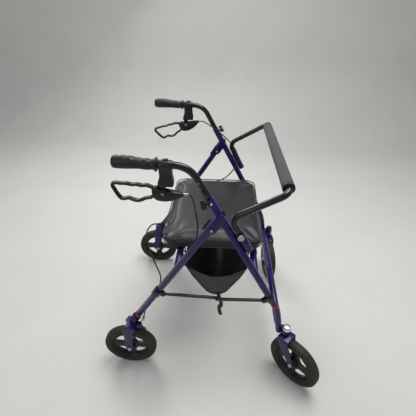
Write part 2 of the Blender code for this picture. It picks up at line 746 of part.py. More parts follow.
def handle_tube(side, s, mount):
    """Black tube that telescopes in the front leg and bends level into the grip."""
    x = s * SIDE_X
    low = front_axis(FRONT_TOP_Z) - UP_FRONT * 0.19
    corner = front_axis(HANDLE_Z)
    end = handle_line(GRIP_END_Y)
    path = rounded([low, corner, end], [0, 0.062, 0], 6)
    body = tube("handle", [at(x, p) for p in path], HANDLE_R, 12)
    inner = rounded([low - UP_FRONT * 0.01, corner, end - LEVEL * 0.004], [0, 0.062, 0], 6)
    bore = tube("handle_bore", [at(x, p) for p in inner], HANDLE_R - HANDLE_WALL, 8)
    cut(body, bore)
    for k in range(6):
        spot = front_axis(FRONT_TOP_Z) + UP_FRONT * (0.052 - 0.0254 * k)
        hole = across("height_hole", x + s * 0.004, x + s * 0.02, spot, 0.0032, 8)
        cut(body, hole)
    return finish(body, "handle_tube_" + side, BLACK_PAINT, mount)


def grip(side, s, mount):
    """Rubber grip: flange, finger neck, and a raised palm rest towards its end."""
    x = s * SIDE_X
    front = -0.1590
    stations = [(0.0, -0.0010, 0.0172), (0.0035, -0.0010, 0.0178), (0.0065, -0.0012, 0.0146),
                (0.016, -0.0014, 0.0136), (0.028, -0.0012, 0.0144), (0.040, -0.0008, 0.0138),
                (0.052, 0.0, 0.0148), (0.064, 0.0006, 0.0158), (0.078, 0.0007, 0.0168),
                (0.092, 0.0006, 0.0170), (0.101, 0.0004, 0.0166), (0.1075, 0.0, 0.0152),
                (0.1110, 0.0, 0.0124)]
    points = []
    for reach, lift, _ in stations:
        spot = handle_line(front - reach)
        points.append(at(x, spot + Vector((0.0, lift))))
    radius = 0.0170
    body = tube("grip", points, radius, 14, thickness=[r / radius for _, _, r in stations])
    start, end = handle_line(front + 0.01), handle_line(GRIP_END_Y) + LEVEL * GAP
    bore = rod("grip_bore", at(x, start), at(x, end), clear_of(HANDLE_R), 12)
    cut(body, bore)
    return finish(body, "grip_" + side, GRIP_RUBBER, mount)


def brake_housing(side, s, mount):
    """Clamp round the handle with a block and a tongue below it, on which the lever turns."""
    x = s * SIDE_X
    collar = rod("collar", at(x, handle_line(-0.1570)), at(x, handle_line(-0.1215)), 0.0122, 16)
    outline = rounded([(-0.1540, 0.826), (-0.1535, 0.800), (-0.1590, 0.784), (-0.1605, 0.7720),
                       (-0.1205, 0.7720), (-0.1200, 0.784), (-0.1225, 0.800), (-0.1230, 0.826)],
                      [0, 0.010, 0.008, 0.003, 0.003, 0.008, 0.010, 0], 2)
    body = plate("body", outline, x, 0.0215)
    key = block("key", (x - 0.003, -0.1440, 0.838), (x + 0.003, -0.1300, 0.8445))
    tongue = plate("tongue", [Vector((-0.1420, 0.775)), Vector((-0.1580, 0.775)),
                              *arc(LEVER_PIVOT, 0.0080, pi, 2 * pi, 6)], x, 0.0088)
    bore = rod("tube_space", at(x, handle_line(-0.17)), at(x, handle_line(-0.11)), clear_of(HANDLE_R), 12)
    pin = across("lever_pin", x - 0.0136, x + 0.0136, LEVER_PIVOT, 0.0027, 8)
    join(body, collar, key, tongue)
    cut(body, bore)
    join(body, pin)
    return finish(body, "brake_housing_" + side, BLACK_PLASTIC, mount)


def turn_about(pieces, point, angle):
    """Turn pieces about the X direction through a world point."""
    move = Matrix.Translation(point) @ Matrix.Rotation(angle, 4, "X") @ Matrix.Translation(-point)
    for piece in pieces:
        piece.matrix_world = move @ piece.matrix_world


def brake_lever(side, s, mount, drop):
    """Finger loop with a hollowed body that straddles the housing's tongue."""
    x = s * SIDE_X
    route = [(-0.1780, 0.7665), (-0.1900, 0.7705), (-0.2030, 0.7698), (-0.2160, 0.7725),
             (-0.2290, 0.7718), (-0.2420, 0.7745), (-0.2560, 0.7745), (-0.2690, 0.7765),
             (-0.2770, 0.7740), (-0.2790, 0.7670), (-0.2640, 0.7335), (-0.2580, 0.7290),
             (-0.2460, 0.7320), (-0.2330, 0.7280), (-0.2190, 0.7245), (-0.2060, 0.7280),
             (-0.1940, 0.7325), (-0.1850, 0.7345), (-0.1780, 0.7390), (-0.1750, 0.7530)]
    loop = tube("loop", [(0.0, y, z) for y, z in route], 0.0036, 8, closed=True)
    for vertex in loop.data.vertices:
        vertex.co.x *= 2.1
    loop.matrix_world = Matrix.Translation((x, 0.0, 0.0))
    outline = [(-0.1770, 0.7672), (-0.1660, 0.7665), (-0.1500, 0.7625), (-0.1300, 0.7580),
               (-0.1100, 0.7535), (-0.0950, 0.7490), (-0.0945, 0.7425), (-0.1080, 0.7350),
               (-0.1300, 0.7275), (-0.1500, 0.7255), (-0.1660, 0.7290), (-0.1750, 0.7345),
               (-0.1775, 0.7400)]
    body = plate("lever_body", [Vector(p) for p in outline], x, 0.0235)
    slot = block("tongue_slot", (x - 0.0050, -0.1645, 0.7385), (x + 0.0050, -0.1355, 0.80))
    hole = across("pin_hole", x - 0.02, x + 0.02, LEVER_PIVOT, clear_of(0.0027, 8), 8)
    turn_about((loop, body, slot, hole), at(x, LEVER_PIVOT), drop)
    join(loop, body)
    cut(loop, slot, hole)
    return finish(loop, "brake_lever_" + side, BLACK_PLASTIC, mount)


def clamp_knob(side, s, mount):
    """Three-lobed knob whose screw clamps the handle tube in the leg."""
    lobes = 18
    outline = []
    for k in range(lobes):
        a = 2 * pi * k / lobes
        reach = 0.0122 + 0.0032 * cos(3 * a)
        outline.append(Vector((reach * cos(a), reach * sin(a))))
    head = slab("knob", outline, 0.0, 0.012)
    axis = knob_point(s, -1.0) - knob_point(s, 0.0)
    turn = Vector((0, 0, 1)).rotation_difference(axis).to_matrix().to_4x4()
    base = knob_point(s, -(LEG_R + 0.0045))
    head.matrix_world = Matrix.Translation(base) @ turn @ Matrix.Translation((0, 0, 0.006))
    screw = rod("screw", knob_point(s, -(HANDLE_R + 0.0005)), knob_point(s, -(LEG_R + 0.008)), 0.003, 8)
    join(head, screw)
    return finish(head, "clamp_knob_" + side, BLACK_PLASTIC, mount)


# ---------------------------------------------------------------- backrest

def backrest(mount):
    """Bent tube with both arms in the sleeves, and a foam pad on its level part."""
    low = sleeve_axis(0.573)
    corner = sleeve_axis(BACK_CORNER_Z)
    bend = 0.022
    half = [at(SIDE_X, low), at(SIDE_X, corner), at(SIDE_X, BACK_TOP)]
    other = [at(-SIDE_X, BACK_TOP), at(-SIDE_X, corner), at(-SIDE_X, low)]
    path = rounded(half + other, [0, 0.030, bend, bend, 0.030, 0], 4)
    frame = tube("backrest", path, HANDLE_R, 12)
    inner = rounded([half[0] + (half[0] - half[1]) * 0.05] + half[1:] + other[:2]
                    + [other[2] + (other[2] - other[1]) * 0.05],
                    [0, 0.030, bend, bend, 0.030, 0], 4)
    bore = tube("backrest_bore", inner, HANDLE_R - HANDLE_WALL, 6)
    cut(frame, bore)
    finish(frame, "backrest_tube", BLACK_PAINT, mount)

    reach = SIDE_X - bend - 0.0005
    foam = tube("foam", [at(x, BACK_TOP) for x in (-reach, reach)], FOAM_R, 16)
    space = tube("foam_bore", [at(x, BACK_TOP) for x in (-reach - 0.01, reach + 0.01)],
                 clear_of(HANDLE_R), 12)
    cut(foam, space)
    finish(foam, "backrest_foam", FOAM, mount)


def backrest_screw(side, s, mount):
    """Domed thumb screw that holds a backrest arm in its sleeve."""
    x = s * SIDE_X
    spot = sleeve_axis(SCREW_Z)
    base = x + s * (SLEEVE_R + 0.0006)
    head = rod("rim", at(base, spot), at(base + s * 0.0035, spot), 0.0098, 12)
    dome = rod("dome", at(base + s * 0.0030, spot), at(base + s * 0.0068, spot), 0.0092, 12, 0.0045)
    shank = across("shank", x + s * (HANDLE_R + 0.0004), base + s * 0.002, spot, 0.003, 8)
    join(head, dome, shank)
    return finish(head, "backrest_screw_" + side, STEEL, mount)


# ---------------------------------------------------------------- brake cables

def smooth_route(points, per_span=5):
    """Points read from a Catmull-Rom curve through the route's own points."""
    points = [Vector(p) for p in points]
    padded = [2 * points[0] - points[1]] + points + [2 * points[-1] - points[-2]]
    result = []
    for i in range(1, len(padded) - 2):
        p0, p1, p2, p3 = padded[i - 1:i + 3]
        for k in range(per_span):
            t = k / per_span
            result.append(0.5 * (2 * p1 + (p2 - p0) * t + (2 * p0 - 5 * p1 + 4 * p2 - p3) * t ** 2
                                 + (3 * p1 - p0 - 3 * p2 + p3) * t ** 3))
    result.append(points[-1])
    return result


RIGHT_CABLE = [
    (0.2716, -0.0925, 0.7460), (0.2712, -0.0800, 0.7440), (0.2680, -0.0725, 0.7230),
    (0.2580, -0.0670, 0.6750), (0.2460, -0.0640, 0.6200), (0.2350, -0.0720, 0.5650),
    (0.2260, -0.0930, 0.5180), (0.2080, -0.1270, 0.4985), (0.1650, -0.1560, 0.4960),
    (0.1250, -0.1780, 0.4940), (0.1080, -0.1940, 0.5060), (0.1160, -0.2080, 0.5300),
    (0.1350, -0.2240, 0.5440), (0.1600, -0.2360, 0.5400), (0.1800, -0.2370, 0.5240),
    (0.2000, -0.2270, 0.4900), (0.2180, -0.2080, 0.4450), (0.2380, -0.1900, 0.4050),
    (0.2530, -0.2020, 0.3600), (0.2570, -0.2330, 0.3100), (0.2540, -0.2520, 0.2790),
    (0.2560, -0.2540, 0.2600), (0.2650, -0.2575, 0.2420), (0.2760, -0.2650, 0.2245),
]
LEFT_CABLE = [
    (-0.2716, -0.0925, 0.7655), (-0.2650, -0.0750, 0.7640), (-0.2565, -0.0400, 0.7450),
    (-0.2560, 0.0040, 0.7110), (-0.2530, 0.0400, 0.6760), (-0.2510, 0.0640, 0.6350),
    (-0.2480, 0.0640, 0.5950), (-0.2390, 0.0410, 0.5560), (-0.2290, 0.0050, 0.5270),
    (-0.2250, -0.0500, 0.5120), (-0.2270, -0.1050, 0.5070), (-0.2310, -0.1450, 0.4960),
    (-0.2360, -0.1800, 0.4400), (-0.2420, -0.2000, 0.3850), (-0.2500, -0.2200, 0.3300),
    (-0.2600, -0.2420, 0.2800), (-0.2760, -0.2650, 0.2245),
]


def cable(side, route):
    points = smooth_route(route, 3)
    return finish(tube("cable", points, 0.0023, 8), "brake_cable_" + side, CABLE)


# ---------------------------------------------------------------- assembly

fold_axis = joint("rear_fold_axis", at(0.0, PIVOT))
seat_axis = joint("seat_hinge_axis", at(0.0, FRONT_BAR))
back_slide = joint("backrest_slide", at(0.0, sleeve_axis(0.6)))

crossbar("lower_crossbar", LOW_BAR, LOW_BAR_R, INNER_FACE)
crossbar("upper_crossbar", FRONT_BAR, LEG_R, INNER_FACE)
crossbar("rear_crossbar", REAR_BAR, LEG_R, INNER_FACE, fold_axis)
seat(seat_axis)
bag()
backrest(back_slide)

for side, s in SIDES:
    front_leg(side, s)
    pivot_bracket(side, s)
    backrest_socket(side, s)
    stem_housing(side, s)
    brace_bracket("front_brace_bracket_" + side, s, front_axis(FRONT_FOOT_Z), UP_FRONT,
                  BRACE_FRONT, LINK_SHIFT, None)

    rear_leg(side, s, fold_axis)
    rear_fork(side, s, fold_axis)
    brace_bracket("rear_brace_bracket_" + side, s, rear_axis(REAR_FOOT_Z), UP_REAR,
                  BRACE_REAR, -LINK_SHIFT, fold_axis)
    front_link_axis = joint("front_link_axis_" + side, at(s * SIDE_X, BRACE_FRONT))
    brace_link("front_brace_link_" + side, s, BRACE_FRONT, LINK_SHIFT, front_link_axis)
    rear_link_axis = joint("rear_link_axis_" + side, at(s * SIDE_X, BRACE_REAR), fold_axis)
    brace_link("rear_brace_link_" + side, s, BRACE_REAR, -LINK_SHIFT, rear_link_axis)

    shoe_axis = joint("brake_shoe_axis_" + side, at(s * REAR_WHEEL_X, SHOE_PIVOT), fold_axis)
    brake_arm(side, s, shoe_axis, pressed=s < 0)
    axle = at(s * REAR_WHEEL_X, (REAR_AXLE_Y, WHEEL_R))
    wheel_axis = joint("rear_wheel_axis_" + side, axle, fold_axis)
    tyre("rear_tyre_" + side, axle, 0.0, wheel_axis)
    hub("rear_hub_" + side, axle, 0.0, wheel_axis)
    axle_bolt("rear_axle_bolt_" + side, axle, 0.0 if s > 0 else pi, FORK_HALF, fold_axis)
    caster(side, s, NEAR_SWIVEL if s > 0 else FAR_SWIVEL)

    handle_slide = joint("handle_slide_" + side, at(s * SIDE_X, FRONT_TOP))
    handle_tube(side, s, handle_slide)
    grip(side, s, handle_slide)
    brake_housing(side, s, handle_slide)
    lever_axis = joint("lever_axis_" + side, at(s * SIDE_X, LEVER_PIVOT), handle_slide)
    brake_lever(side, s, lever_axis, 0.0 if s > 0 else LEFT_LEVER_DROP)
    knob_turn = joint("clamp_knob_axis_" + side, knob_point(s, -LEG_R))
    clamp_knob(side, s, knob_turn)
    screw_turn = joint("backrest_screw_axis_" + side, at(s * SIDE_X, sleeve_axis(SCREW_Z)))
    backrest_screw(side, s, screw_turn)

cable("right", RIGHT_CABLE)
cable("left", LEFT_CABLE)

for obj in list(PARTS.objects) + list(CUTTERS.objects):
    if obj.parent is None:
        obj.location -= Vector((*ORIGIN, 0.0))
bpy.context.view_layer.update()
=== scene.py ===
"""Looks of the walking frame: studio, procedural materials, soft goods and fine detail.

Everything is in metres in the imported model's frame: +X the user's right, +Y forwards, +Z up.
"""

import json
import math

import bmesh
import bpy
from mathutils import Matrix, Vector, noise


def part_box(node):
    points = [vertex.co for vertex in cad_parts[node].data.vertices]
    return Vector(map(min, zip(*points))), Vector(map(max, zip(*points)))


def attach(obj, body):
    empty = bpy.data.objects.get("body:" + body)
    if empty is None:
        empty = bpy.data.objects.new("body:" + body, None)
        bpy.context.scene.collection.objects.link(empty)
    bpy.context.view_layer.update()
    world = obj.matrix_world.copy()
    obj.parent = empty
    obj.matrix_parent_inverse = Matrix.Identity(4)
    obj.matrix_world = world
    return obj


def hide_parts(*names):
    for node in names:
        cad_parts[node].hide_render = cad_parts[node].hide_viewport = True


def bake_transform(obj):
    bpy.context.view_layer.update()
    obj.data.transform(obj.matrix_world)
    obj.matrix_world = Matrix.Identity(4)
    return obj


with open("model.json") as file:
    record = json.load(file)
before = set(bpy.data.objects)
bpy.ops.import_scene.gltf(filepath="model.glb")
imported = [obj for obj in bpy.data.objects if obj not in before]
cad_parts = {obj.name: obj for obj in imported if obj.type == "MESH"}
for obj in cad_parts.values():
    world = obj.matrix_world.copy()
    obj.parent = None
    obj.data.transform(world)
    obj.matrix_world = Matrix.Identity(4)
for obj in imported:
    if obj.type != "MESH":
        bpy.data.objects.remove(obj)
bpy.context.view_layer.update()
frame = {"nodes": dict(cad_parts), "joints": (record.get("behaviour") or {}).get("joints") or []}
NODES = frame["nodes"]
JOINTS = {j["name"]: j for j in frame["joints"]}
SIDES = (("right", 1), ("left", -1))
UP = Vector((0, 0, 1))
X_AXIS = Vector((1, 0, 0))

FRONT_TILT = math.radians(28.4)
GRIP_RISE = math.radians(2.2)
LEG_UP = Vector((0, -math.sin(FRONT_TILT), math.cos(FRONT_TILT)))
REAR_TILT = math.radians(33.0)
REAR_UP = Vector((0, math.sin(REAR_TILT), math.cos(REAR_TILT)))
REAR_ACROSS = Vector((0, math.cos(REAR_TILT), -math.sin(REAR_TILT)))
SIDE_X = 0.2716     # half the distance between the two side frames
APEX_Z = 0.678      # height at which the leg axes of a side cross
PIVOT_DROP = 0.042  # fold pivot below the crossing, along the rear leg
REAR_BAR = Vector((0, -0.1273, 0.482))  # axis of the seat's rear crossbar, from HOME
GRIP_AXIS_RISE = 0.0178 + 0.0010        # grip axis over the lowest point of the grip's node
FRONT_TOP_Z = 0.7370    # upper end of a front leg
FIRST_HOLE = 0.0266     # lowest height hole wholly above that end, along the handle tube
HOLE_PITCH = 0.0254
TAPE_R = 0.0112         # inside of the tape bands, just off the leg tubes

CAMERA_PLACE = Vector((0.94307, -0.00153, 1.15024))  # from HOME
CAMERA_YAW, CAMERA_PITCH, CAMERA_ROLL = -0.0476, 0.5835, 0.0042


def home():
    """The frame's middle plane at the crossing of the leg axes, on the floor."""
    left, right = (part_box("front_leg_" + side) for side in ("left", "right"))
    fold = Vector(JOINTS["rear_fold"]["pos_m"])
    return Vector(((left[0].x + right[1].x) / 2, fold.y + PIVOT_DROP * math.sin(REAR_TILT), 0))


HOME = home()


def on_front_leg(side, z):
    """Point of a front leg's upper axis at a height."""
    return HOME + Vector((side * SIDE_X, -(z - APEX_Z) * math.tan(FRONT_TILT), z))


def on_rear_leg(side, z):
    return HOME + Vector((side * SIDE_X, (z - APEX_Z) * math.tan(REAR_TILT), z))


# ---------------------------------------------------------------- materials

def spread(nodes, links, source, low, high, out_low, out_high):
    """A value brought from one range to another and held inside it."""
    node = nodes.new("ShaderNodeMapRange")
    node.inputs["From Min"].default_value = low
    node.inputs["From Max"].default_value = high
    node.inputs["To Min"].default_value = out_low
    node.inputs["To Max"].default_value = out_high
    links.new(source, node.inputs["Value"])
    return node.outputs["Result"]


def texture(nodes, links, kind, coords, scale, **inputs):
    node = nodes.new("ShaderNodeTex" + kind)
    node.inputs["Scale"].default_value = scale
    for key, value in inputs.items():
        node.inputs[key.replace("_", " ")].default_value = value
    links.new(coords, node.inputs["Vector"])
    return node


def blend_colour(nodes, links, factor, first, second, mode="MIX"):
    node = nodes.new("ShaderNodeMix")
    node.data_type = "RGBA"
    node.blend_type = mode
    for source, place in ((factor, 0), (first, 6), (second, 7)):
        if isinstance(source, bpy.types.NodeSocket):
            links.new(source, node.inputs[place])
        else:
            value = source if place == 0 else (*source, 1.0)
            node.inputs[place].default_value = value
    return node.outputs[2]


def surface(name, base, rough, vary=0.25, patch=14.0, dust=None, dust_amount=0.3,
            rough_spread=0.08, metallic=0.0, coat=0.0, coat_rough=0.1, sheen=0.0, specular=0.5,
            grain="noise", grain_scale=900.0, grain_depth=0.00005, stretch=(1, 1, 1), wave=0.0,
            scratches=0.0, scratch_tone=(0.5, 0.5, 0.5)):
    """Principled material whose colour, roughness and relief vary as the real surface does."""
    mat = bpy.data.materials.new(name)
    mat.use_nodes = True
    nodes, links = mat.node_tree.nodes, mat.node_tree.links
    shader = nodes["Principled BSDF"]
    shader.inputs["Metallic"].default_value = metallic
    shader.inputs["Coat Weight"].default_value = coat
    shader.inputs["Coat Roughness"].default_value = coat_rough
    shader.inputs["Sheen Weight"].default_value = sheen
    shader.inputs["Specular IOR Level"].default_value = specular
    coords = nodes.new("ShaderNodeTexCoord").outputs["Object"]

    broad = texture(nodes, links, "Noise", coords, patch, Detail=5.0, Roughness=0.6)
    fine = texture(nodes, links, "Noise", coords, patch * 14, Detail=3.0)
    dark = tuple(c * (1 - vary) for c in base)
    light = tuple(min(1.0, c * (1 + vary)) for c in base)
    tone = spread(nodes, links, broad.outputs["Fac"], 0.32, 0.68, 0.0, 1.0)
    colour = blend_colour(nodes, links, tone, dark, light)
    small = spread(nodes, links, fine.outputs["Fac"], 0.35, 0.65, 0.0, 0.35)
    colour = blend_colour(nodes, links, small, colour, light)
    if dust:
        cloud = texture(nodes, links, "Noise", coords, patch * 0.45, Detail=8.0, Roughness=0.7)
        amount = spread(nodes, links, cloud.outputs["Fac"], 0.48, 0.72, 0.0, dust_amount)
        colour = blend_colour(nodes, links, amount, colour, dust)
    rough_source = broad.outputs["Fac"]
    roughness = spread(nodes, links, rough_source, 0.3, 0.7, rough - rough_spread,
                       rough + rough_spread)
    if scratches:
        bent = nodes.new("ShaderNodeMapping")
        bent.inputs["Scale"].default_value = (1, 1, 0.06)
        bent.inputs["Rotation"].default_value = (0.55, 0.2, 0.3)
        links.new(coords, bent.inputs["Vector"])
        marks = texture(nodes, links, "Noise", bent.outputs["Vector"], 520.0, Detail=2.0)
        where = texture(nodes, links, "Noise", coords, 22.0, Detail=4.0)
        line = spread(nodes, links, marks.outputs["Fac"], 0.665, 0.70, 0.0, 1.0)
        zone = spread(nodes, links, where.outputs["Fac"], 0.50, 0.64, 0.0, scratches)
        both = nodes.new("ShaderNodeMath")
        both.operation = "MULTIPLY"
        links.new(line, both.inputs[0])
        links.new(zone, both.inputs[1])
        colour = blend_colour(nodes, links, both.outputs[0], colour, scratch_tone)
    links.new(colour, shader.inputs["Base Color"])
    links.new(roughness, shader.inputs["Roughness"])

    shaped = nodes.new("ShaderNodeMapping")
    shaped.inputs["Scale"].default_value = stretch
    links.new(coords, shaped.inputs["Vector"])
    if grain == "cells":
        cells = texture(nodes, links, "Voronoi", shaped.outputs["Vector"], grain_scale)
        relief = cells.outputs["Distance"]
    elif grain == "weave":
        first = texture(nodes, links, "Wave", shaped.outputs["Vector"], grain_scale)
        first.bands_direction = "X"
        second = texture(nodes, links, "Wave", shaped.outputs["Vector"], grain_scale)
        second.bands_direction = "Z"
        third = texture(nodes, links, "Wave", shaped.outputs["Vector"], grain_scale)
        third.bands_direction = "Y"
        pair = nodes.new("ShaderNodeMath")
        pair.operation = "MULTIPLY"
        links.new(first.outputs["Fac"], pair.inputs[0])
        total = nodes.new("ShaderNodeMath")
        total.operation = "ADD"
        links.new(second.outputs["Fac"], total.inputs[0])
        links.new(third.outputs["Fac"], total.inputs[1])
        links.new(total.outputs[0], pair.inputs[1])
        relief = pair.outputs[0]
    else:
        relief = texture(nodes, links, "Noise", shaped.outputs["Vector"], grain_scale,
                         Detail=3.0).outputs["Fac"]
    bump = nodes.new("ShaderNodeBump")
    bump.inputs["Strength"].default_value = 1.0
    bump.inputs["Distance"].default_value = grain_depth
    links.new(relief, bump.inputs["Height"])
    out = bump.outputs["Normal"]
    if wave:
        swell = texture(nodes, links, "Noise", coords, 28.0, Detail=4.0, Roughness=0.55)
        big = nodes.new("ShaderNodeBump")
        big.inputs["Strength"].default_value = 1.0
        big.inputs["Distance"].default_value = wave
        links.new(swell.outputs["Fac"], big.inputs["Height"])
        links.new(out, big.inputs["Normal"])
        out = big.outputs["Normal"]
    links.new(out, shader.inputs["Normal"])
    return mat


BLUE = surface("frame_blue", (0.0105, 0.0052, 0.082), 0.28, vary=0.20, patch=20, coat=0.20,
               coat_rough=0.12, specular=0.30, dust=(0.024, 0.019, 0.075), dust_amount=0.12,
               grain_scale=520, grain_depth=0.00003, scratches=0.35,
               scratch_tone=(0.14, 0.13, 0.26))
BLACK = surface("frame_black", (0.0036, 0.0036, 0.0042), 0.24, vary=0.3, patch=26, coat=0.30,
                coat_rough=0.10, specular=0.35, dust=(0.022, 0.022, 0.020), dust_amount=0.14,
                grain_scale=600, grain_depth=0.00003, scratches=0.55,
                scratch_tone=(0.20, 0.19, 0.17))
STEEL = surface("zinc_bolts", (0.44, 0.44, 0.43), 0.32, vary=0.15, patch=60, metallic=1.0,
                dust=(0.22, 0.20, 0.18), dust_amount=0.30, grain_scale=1400,
                grain_depth=0.00002, stretch=(1, 1, 8))
PLASTIC = surface("moulded_black", (0.0052, 0.0054, 0.0058), 0.38, vary=0.2, patch=30,
                  specular=0.42, dust=(0.030, 0.030, 0.028), dust_amount=0.20, grain="cells",
                  grain_scale=1500, grain_depth=0.00004, scratches=0.25,
                  scratch_tone=(0.07, 0.07, 0.07))
HUB = surface("wheel_plastic", (0.0040, 0.0040, 0.0042), 0.34, vary=0.2, patch=34,
              specular=0.40, dust=(0.040, 0.038, 0.030), dust_amount=0.26, grain="cells",
              grain_scale=1300, grain_depth=0.00004, scratches=0.22,
              scratch_tone=(0.10, 0.10, 0.09))
TYRE = surface("tyre_rubber", (0.0190, 0.0188, 0.0128), 0.66, vary=0.22, patch=24,
               specular=0.35, dust=(0.070, 0.066, 0.044), dust_amount=0.42, grain_scale=700,
               grain_depth=0.00010, rough_spread=0.10)
GRIP = surface("grip_rubber", (0.0072, 0.0075, 0.0080), 0.42, vary=0.25, patch=40,
               specular=0.40, dust=(0.030, 0.030, 0.028), dust_amount=0.28, grain="cells",
               grain_scale=900, grain_depth=0.00010)
VINYL = surface("seat_vinyl", (0.0155, 0.0174, 0.0198), 0.40, vary=0.12, patch=9, coat=0.06,
                coat_rough=0.35, specular=0.36, dust=(0.036, 0.038, 0.038), dust_amount=0.35,
                grain="cells", grain_scale=620, grain_depth=0.00010, wave=0.0010,
                rough_spread=0.07)
PIPING = surface("seat_piping", (0.0110, 0.0115, 0.0130), 0.34, vary=0.2, patch=50,
                 specular=0.45, dust=(0.060, 0.060, 0.058), dust_amount=0.5, grain="cells",
                 grain_scale=900, grain_depth=0.00008)
FOAM = surface("back_foam", (0.045, 0.049, 0.053), 0.80, vary=0.14, patch=30, sheen=0.12,
               specular=0.3, dust=(0.024, 0.024, 0.024), dust_amount=0.45, grain_scale=1500,
               grain_depth=0.00030, rough_spread=0.06)
CLOTH = surface("bag_nylon", (0.0060, 0.0066, 0.0080), 0.36, vary=0.25, patch=18, sheen=0.12,
                specular=0.45, dust=(0.026, 0.027, 0.028), dust_amount=0.30, grain="weave",
                grain_scale=260, grain_depth=0.00010, wave=0.0022)
END_CLOTH = surface("bag_end_nylon", (0.0270, 0.0290, 0.0330), 0.46, vary=0.25, patch=22,
                    sheen=0.15, specular=0.45, dust=(0.045, 0.046, 0.047), dust_amount=0.35,
                    grain="weave", grain_scale=230, grain_depth=0.00015, wave=0.0022)
WEBBING = surface("bag_webbing", (0.0055, 0.0055, 0.0060), 0.62, vary=0.25, patch=60,
                  sheen=0.15, specular=0.35, dust=(0.030, 0.030, 0.028), dust_amount=0.3,
                  grain="weave", grain_scale=420, grain_depth=0.00025)
CABLE = surface("cable_sheath", (0.0050, 0.0050, 0.0055), 0.34, vary=0.25, patch=60,
                specular=0.40, dust=(0.035, 0.034, 0.030), dust_amount=0.30, grain_scale=900,
                grain_depth=0.00003)
TAPE = surface("red_tape", (0.24, 0.008, 0.012), 0.42, vary=0.3, patch=60,
               dust=(0.035, 0.015, 0.030), dust_amount=0.6, grain_scale=900,
               grain_depth=0.00004)


# ---------------------------------------------------------------- building tools

def smooth_group(angle):
    """Modifier group that shades smooth across every edge flatter than the angle."""
    group = bpy.data.node_groups.new("smooth_by_angle", "GeometryNodeTree")
    for way in ("INPUT", "OUTPUT"):
        group.interface.new_socket("Geometry", in_out=way, socket_type="NodeSocketGeometry")
    nodes, links = group.nodes, group.links
    entry, leave = nodes.new("NodeGroupInput"), nodes.new("NodeGroupOutput")
    whole, sharp = (nodes.new("GeometryNodeSetShadeSmooth") for _ in range(2))
    whole.inputs["Shade Smooth"].default_value = True
    sharp.domain = "EDGE"
    sharp.inputs["Shade Smooth"].default_value = False
    edge = nodes.new("GeometryNodeInputMeshEdgeAngle")
    steep = nodes.new("FunctionNodeCompare")
    steep.data_type = "FLOAT"
    steep.operation = "GREATER_THAN"
    steep.inputs["B"].default_value = angle
    links.new(edge.outputs["Unsigned Angle"], steep.inputs["A"])
    links.new(entry.outputs[0], whole.inputs["Geometry"])
    links.new(whole.outputs["Geometry"], sharp.inputs["Geometry"])
    links.new(steep.outputs["Result"], sharp.inputs["Selection"])
    links.new(sharp.outputs["Geometry"], leave.inputs[0])
    return group


SMOOTH = smooth_group(math.radians(38))


def soften(obj, bevel=0.0):
    """Rounds the hard edges of a shown piece a little and shades its curved faces smooth."""
    if bevel:
        weld = obj.modifiers.new("weld", "WELD")
        weld.merge_threshold = 0.000005
        edge = obj.modifiers.new("edge", "BEVEL")
        edge.width = bevel
        edge.segments = 2
        edge.limit_method = "ANGLE"
        edge.angle_limit = math.radians(42)
    shade = obj.modifiers.new("shade", "NODES")
    shade.node_group = SMOOTH


def dress(node, mat, bevel=0.0005):
    """Gives a CAD node its material and softened edges."""
    obj = NODES[node]
    obj.data.materials.clear()
    obj.data.materials.append(mat)
    soften(obj, bevel)


def piece(name, verts, faces, mat, body=None, smooth=True):
    mesh = bpy.data.meshes.new(name)
    mesh.from_pydata([tuple(v) for v in verts], [], faces)
    mesh.validate()
    mesh.update()
    obj = bpy.data.objects.new(name, mesh)
    bpy.context.scene.collection.objects.link(obj)
    mesh.materials.append(mat)
    for polygon in mesh.polygons:
        polygon.use_smooth = smooth
    face_out(obj)
    if body:
        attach(obj, body)
    return obj


def face_out(obj):
    work = bmesh.new()
    work.from_mesh(obj.data)
    bmesh.ops.recalc_face_normals(work, faces=work.faces)
    work.to_mesh(obj.data)
    work.free()


def across_axes(axis):
    """Two unit vectors square to an axis and to each other."""
    axis = axis.normalized()
    first = axis.cross(UP if abs(axis.z) < 0.9 else X_AXIS).normalized()
    return first, axis.cross(first).normalized()


def revolve(name, profile, centre, axis, mat, body, steps=64, closed=False):
    """Surface of revolution from (distance along the axis, radius) points."""
    axis = axis.normalized()
    first, second = across_axes(axis)
    verts, faces = [], []
    for along, radius in profile:
        for k in range(steps):
            a = 2 * math.pi * k / steps
            verts.append(centre + axis * along
                         + (first * math.cos(a) + second * math.sin(a)) * radius)
    rows = len(profile)
    for i in range(rows if closed else rows - 1):
        j = (i + 1) % rows
        for k in range(steps):
            n = (k + 1) % steps
            faces.append((i * steps + k, i * steps + n, j * steps + n, j * steps + k))
    if not closed:
        faces.append(tuple(range(steps)))
        faces.append(tuple((rows - 1) * steps + k for k in range(steps)))
    return piece(name, verts, faces, mat, body)


def catmull(points, per_span):
    """Smooth line through points."""
    points = [Vector(p) for p in points]
    padded = [points[0] * 2 - points[1], *points, points[-1] * 2 - points[-2]]
    line = []
    for i in range(1, len(padded) - 2):
        p0, p1, p2, p3 = padded[i - 1:i + 3]
        for k in range(per_span):
            t = k / per_span
            line.append(0.5 * ((2 * p1) + (p2 - p0) * t + (2 * p0 - 5 * p1 + 4 * p2 - p3) * t * t
                               + (3 * p1 - p0 - 3 * p2 + p3) * t ** 3))
    line.append(points[-1])
    return line


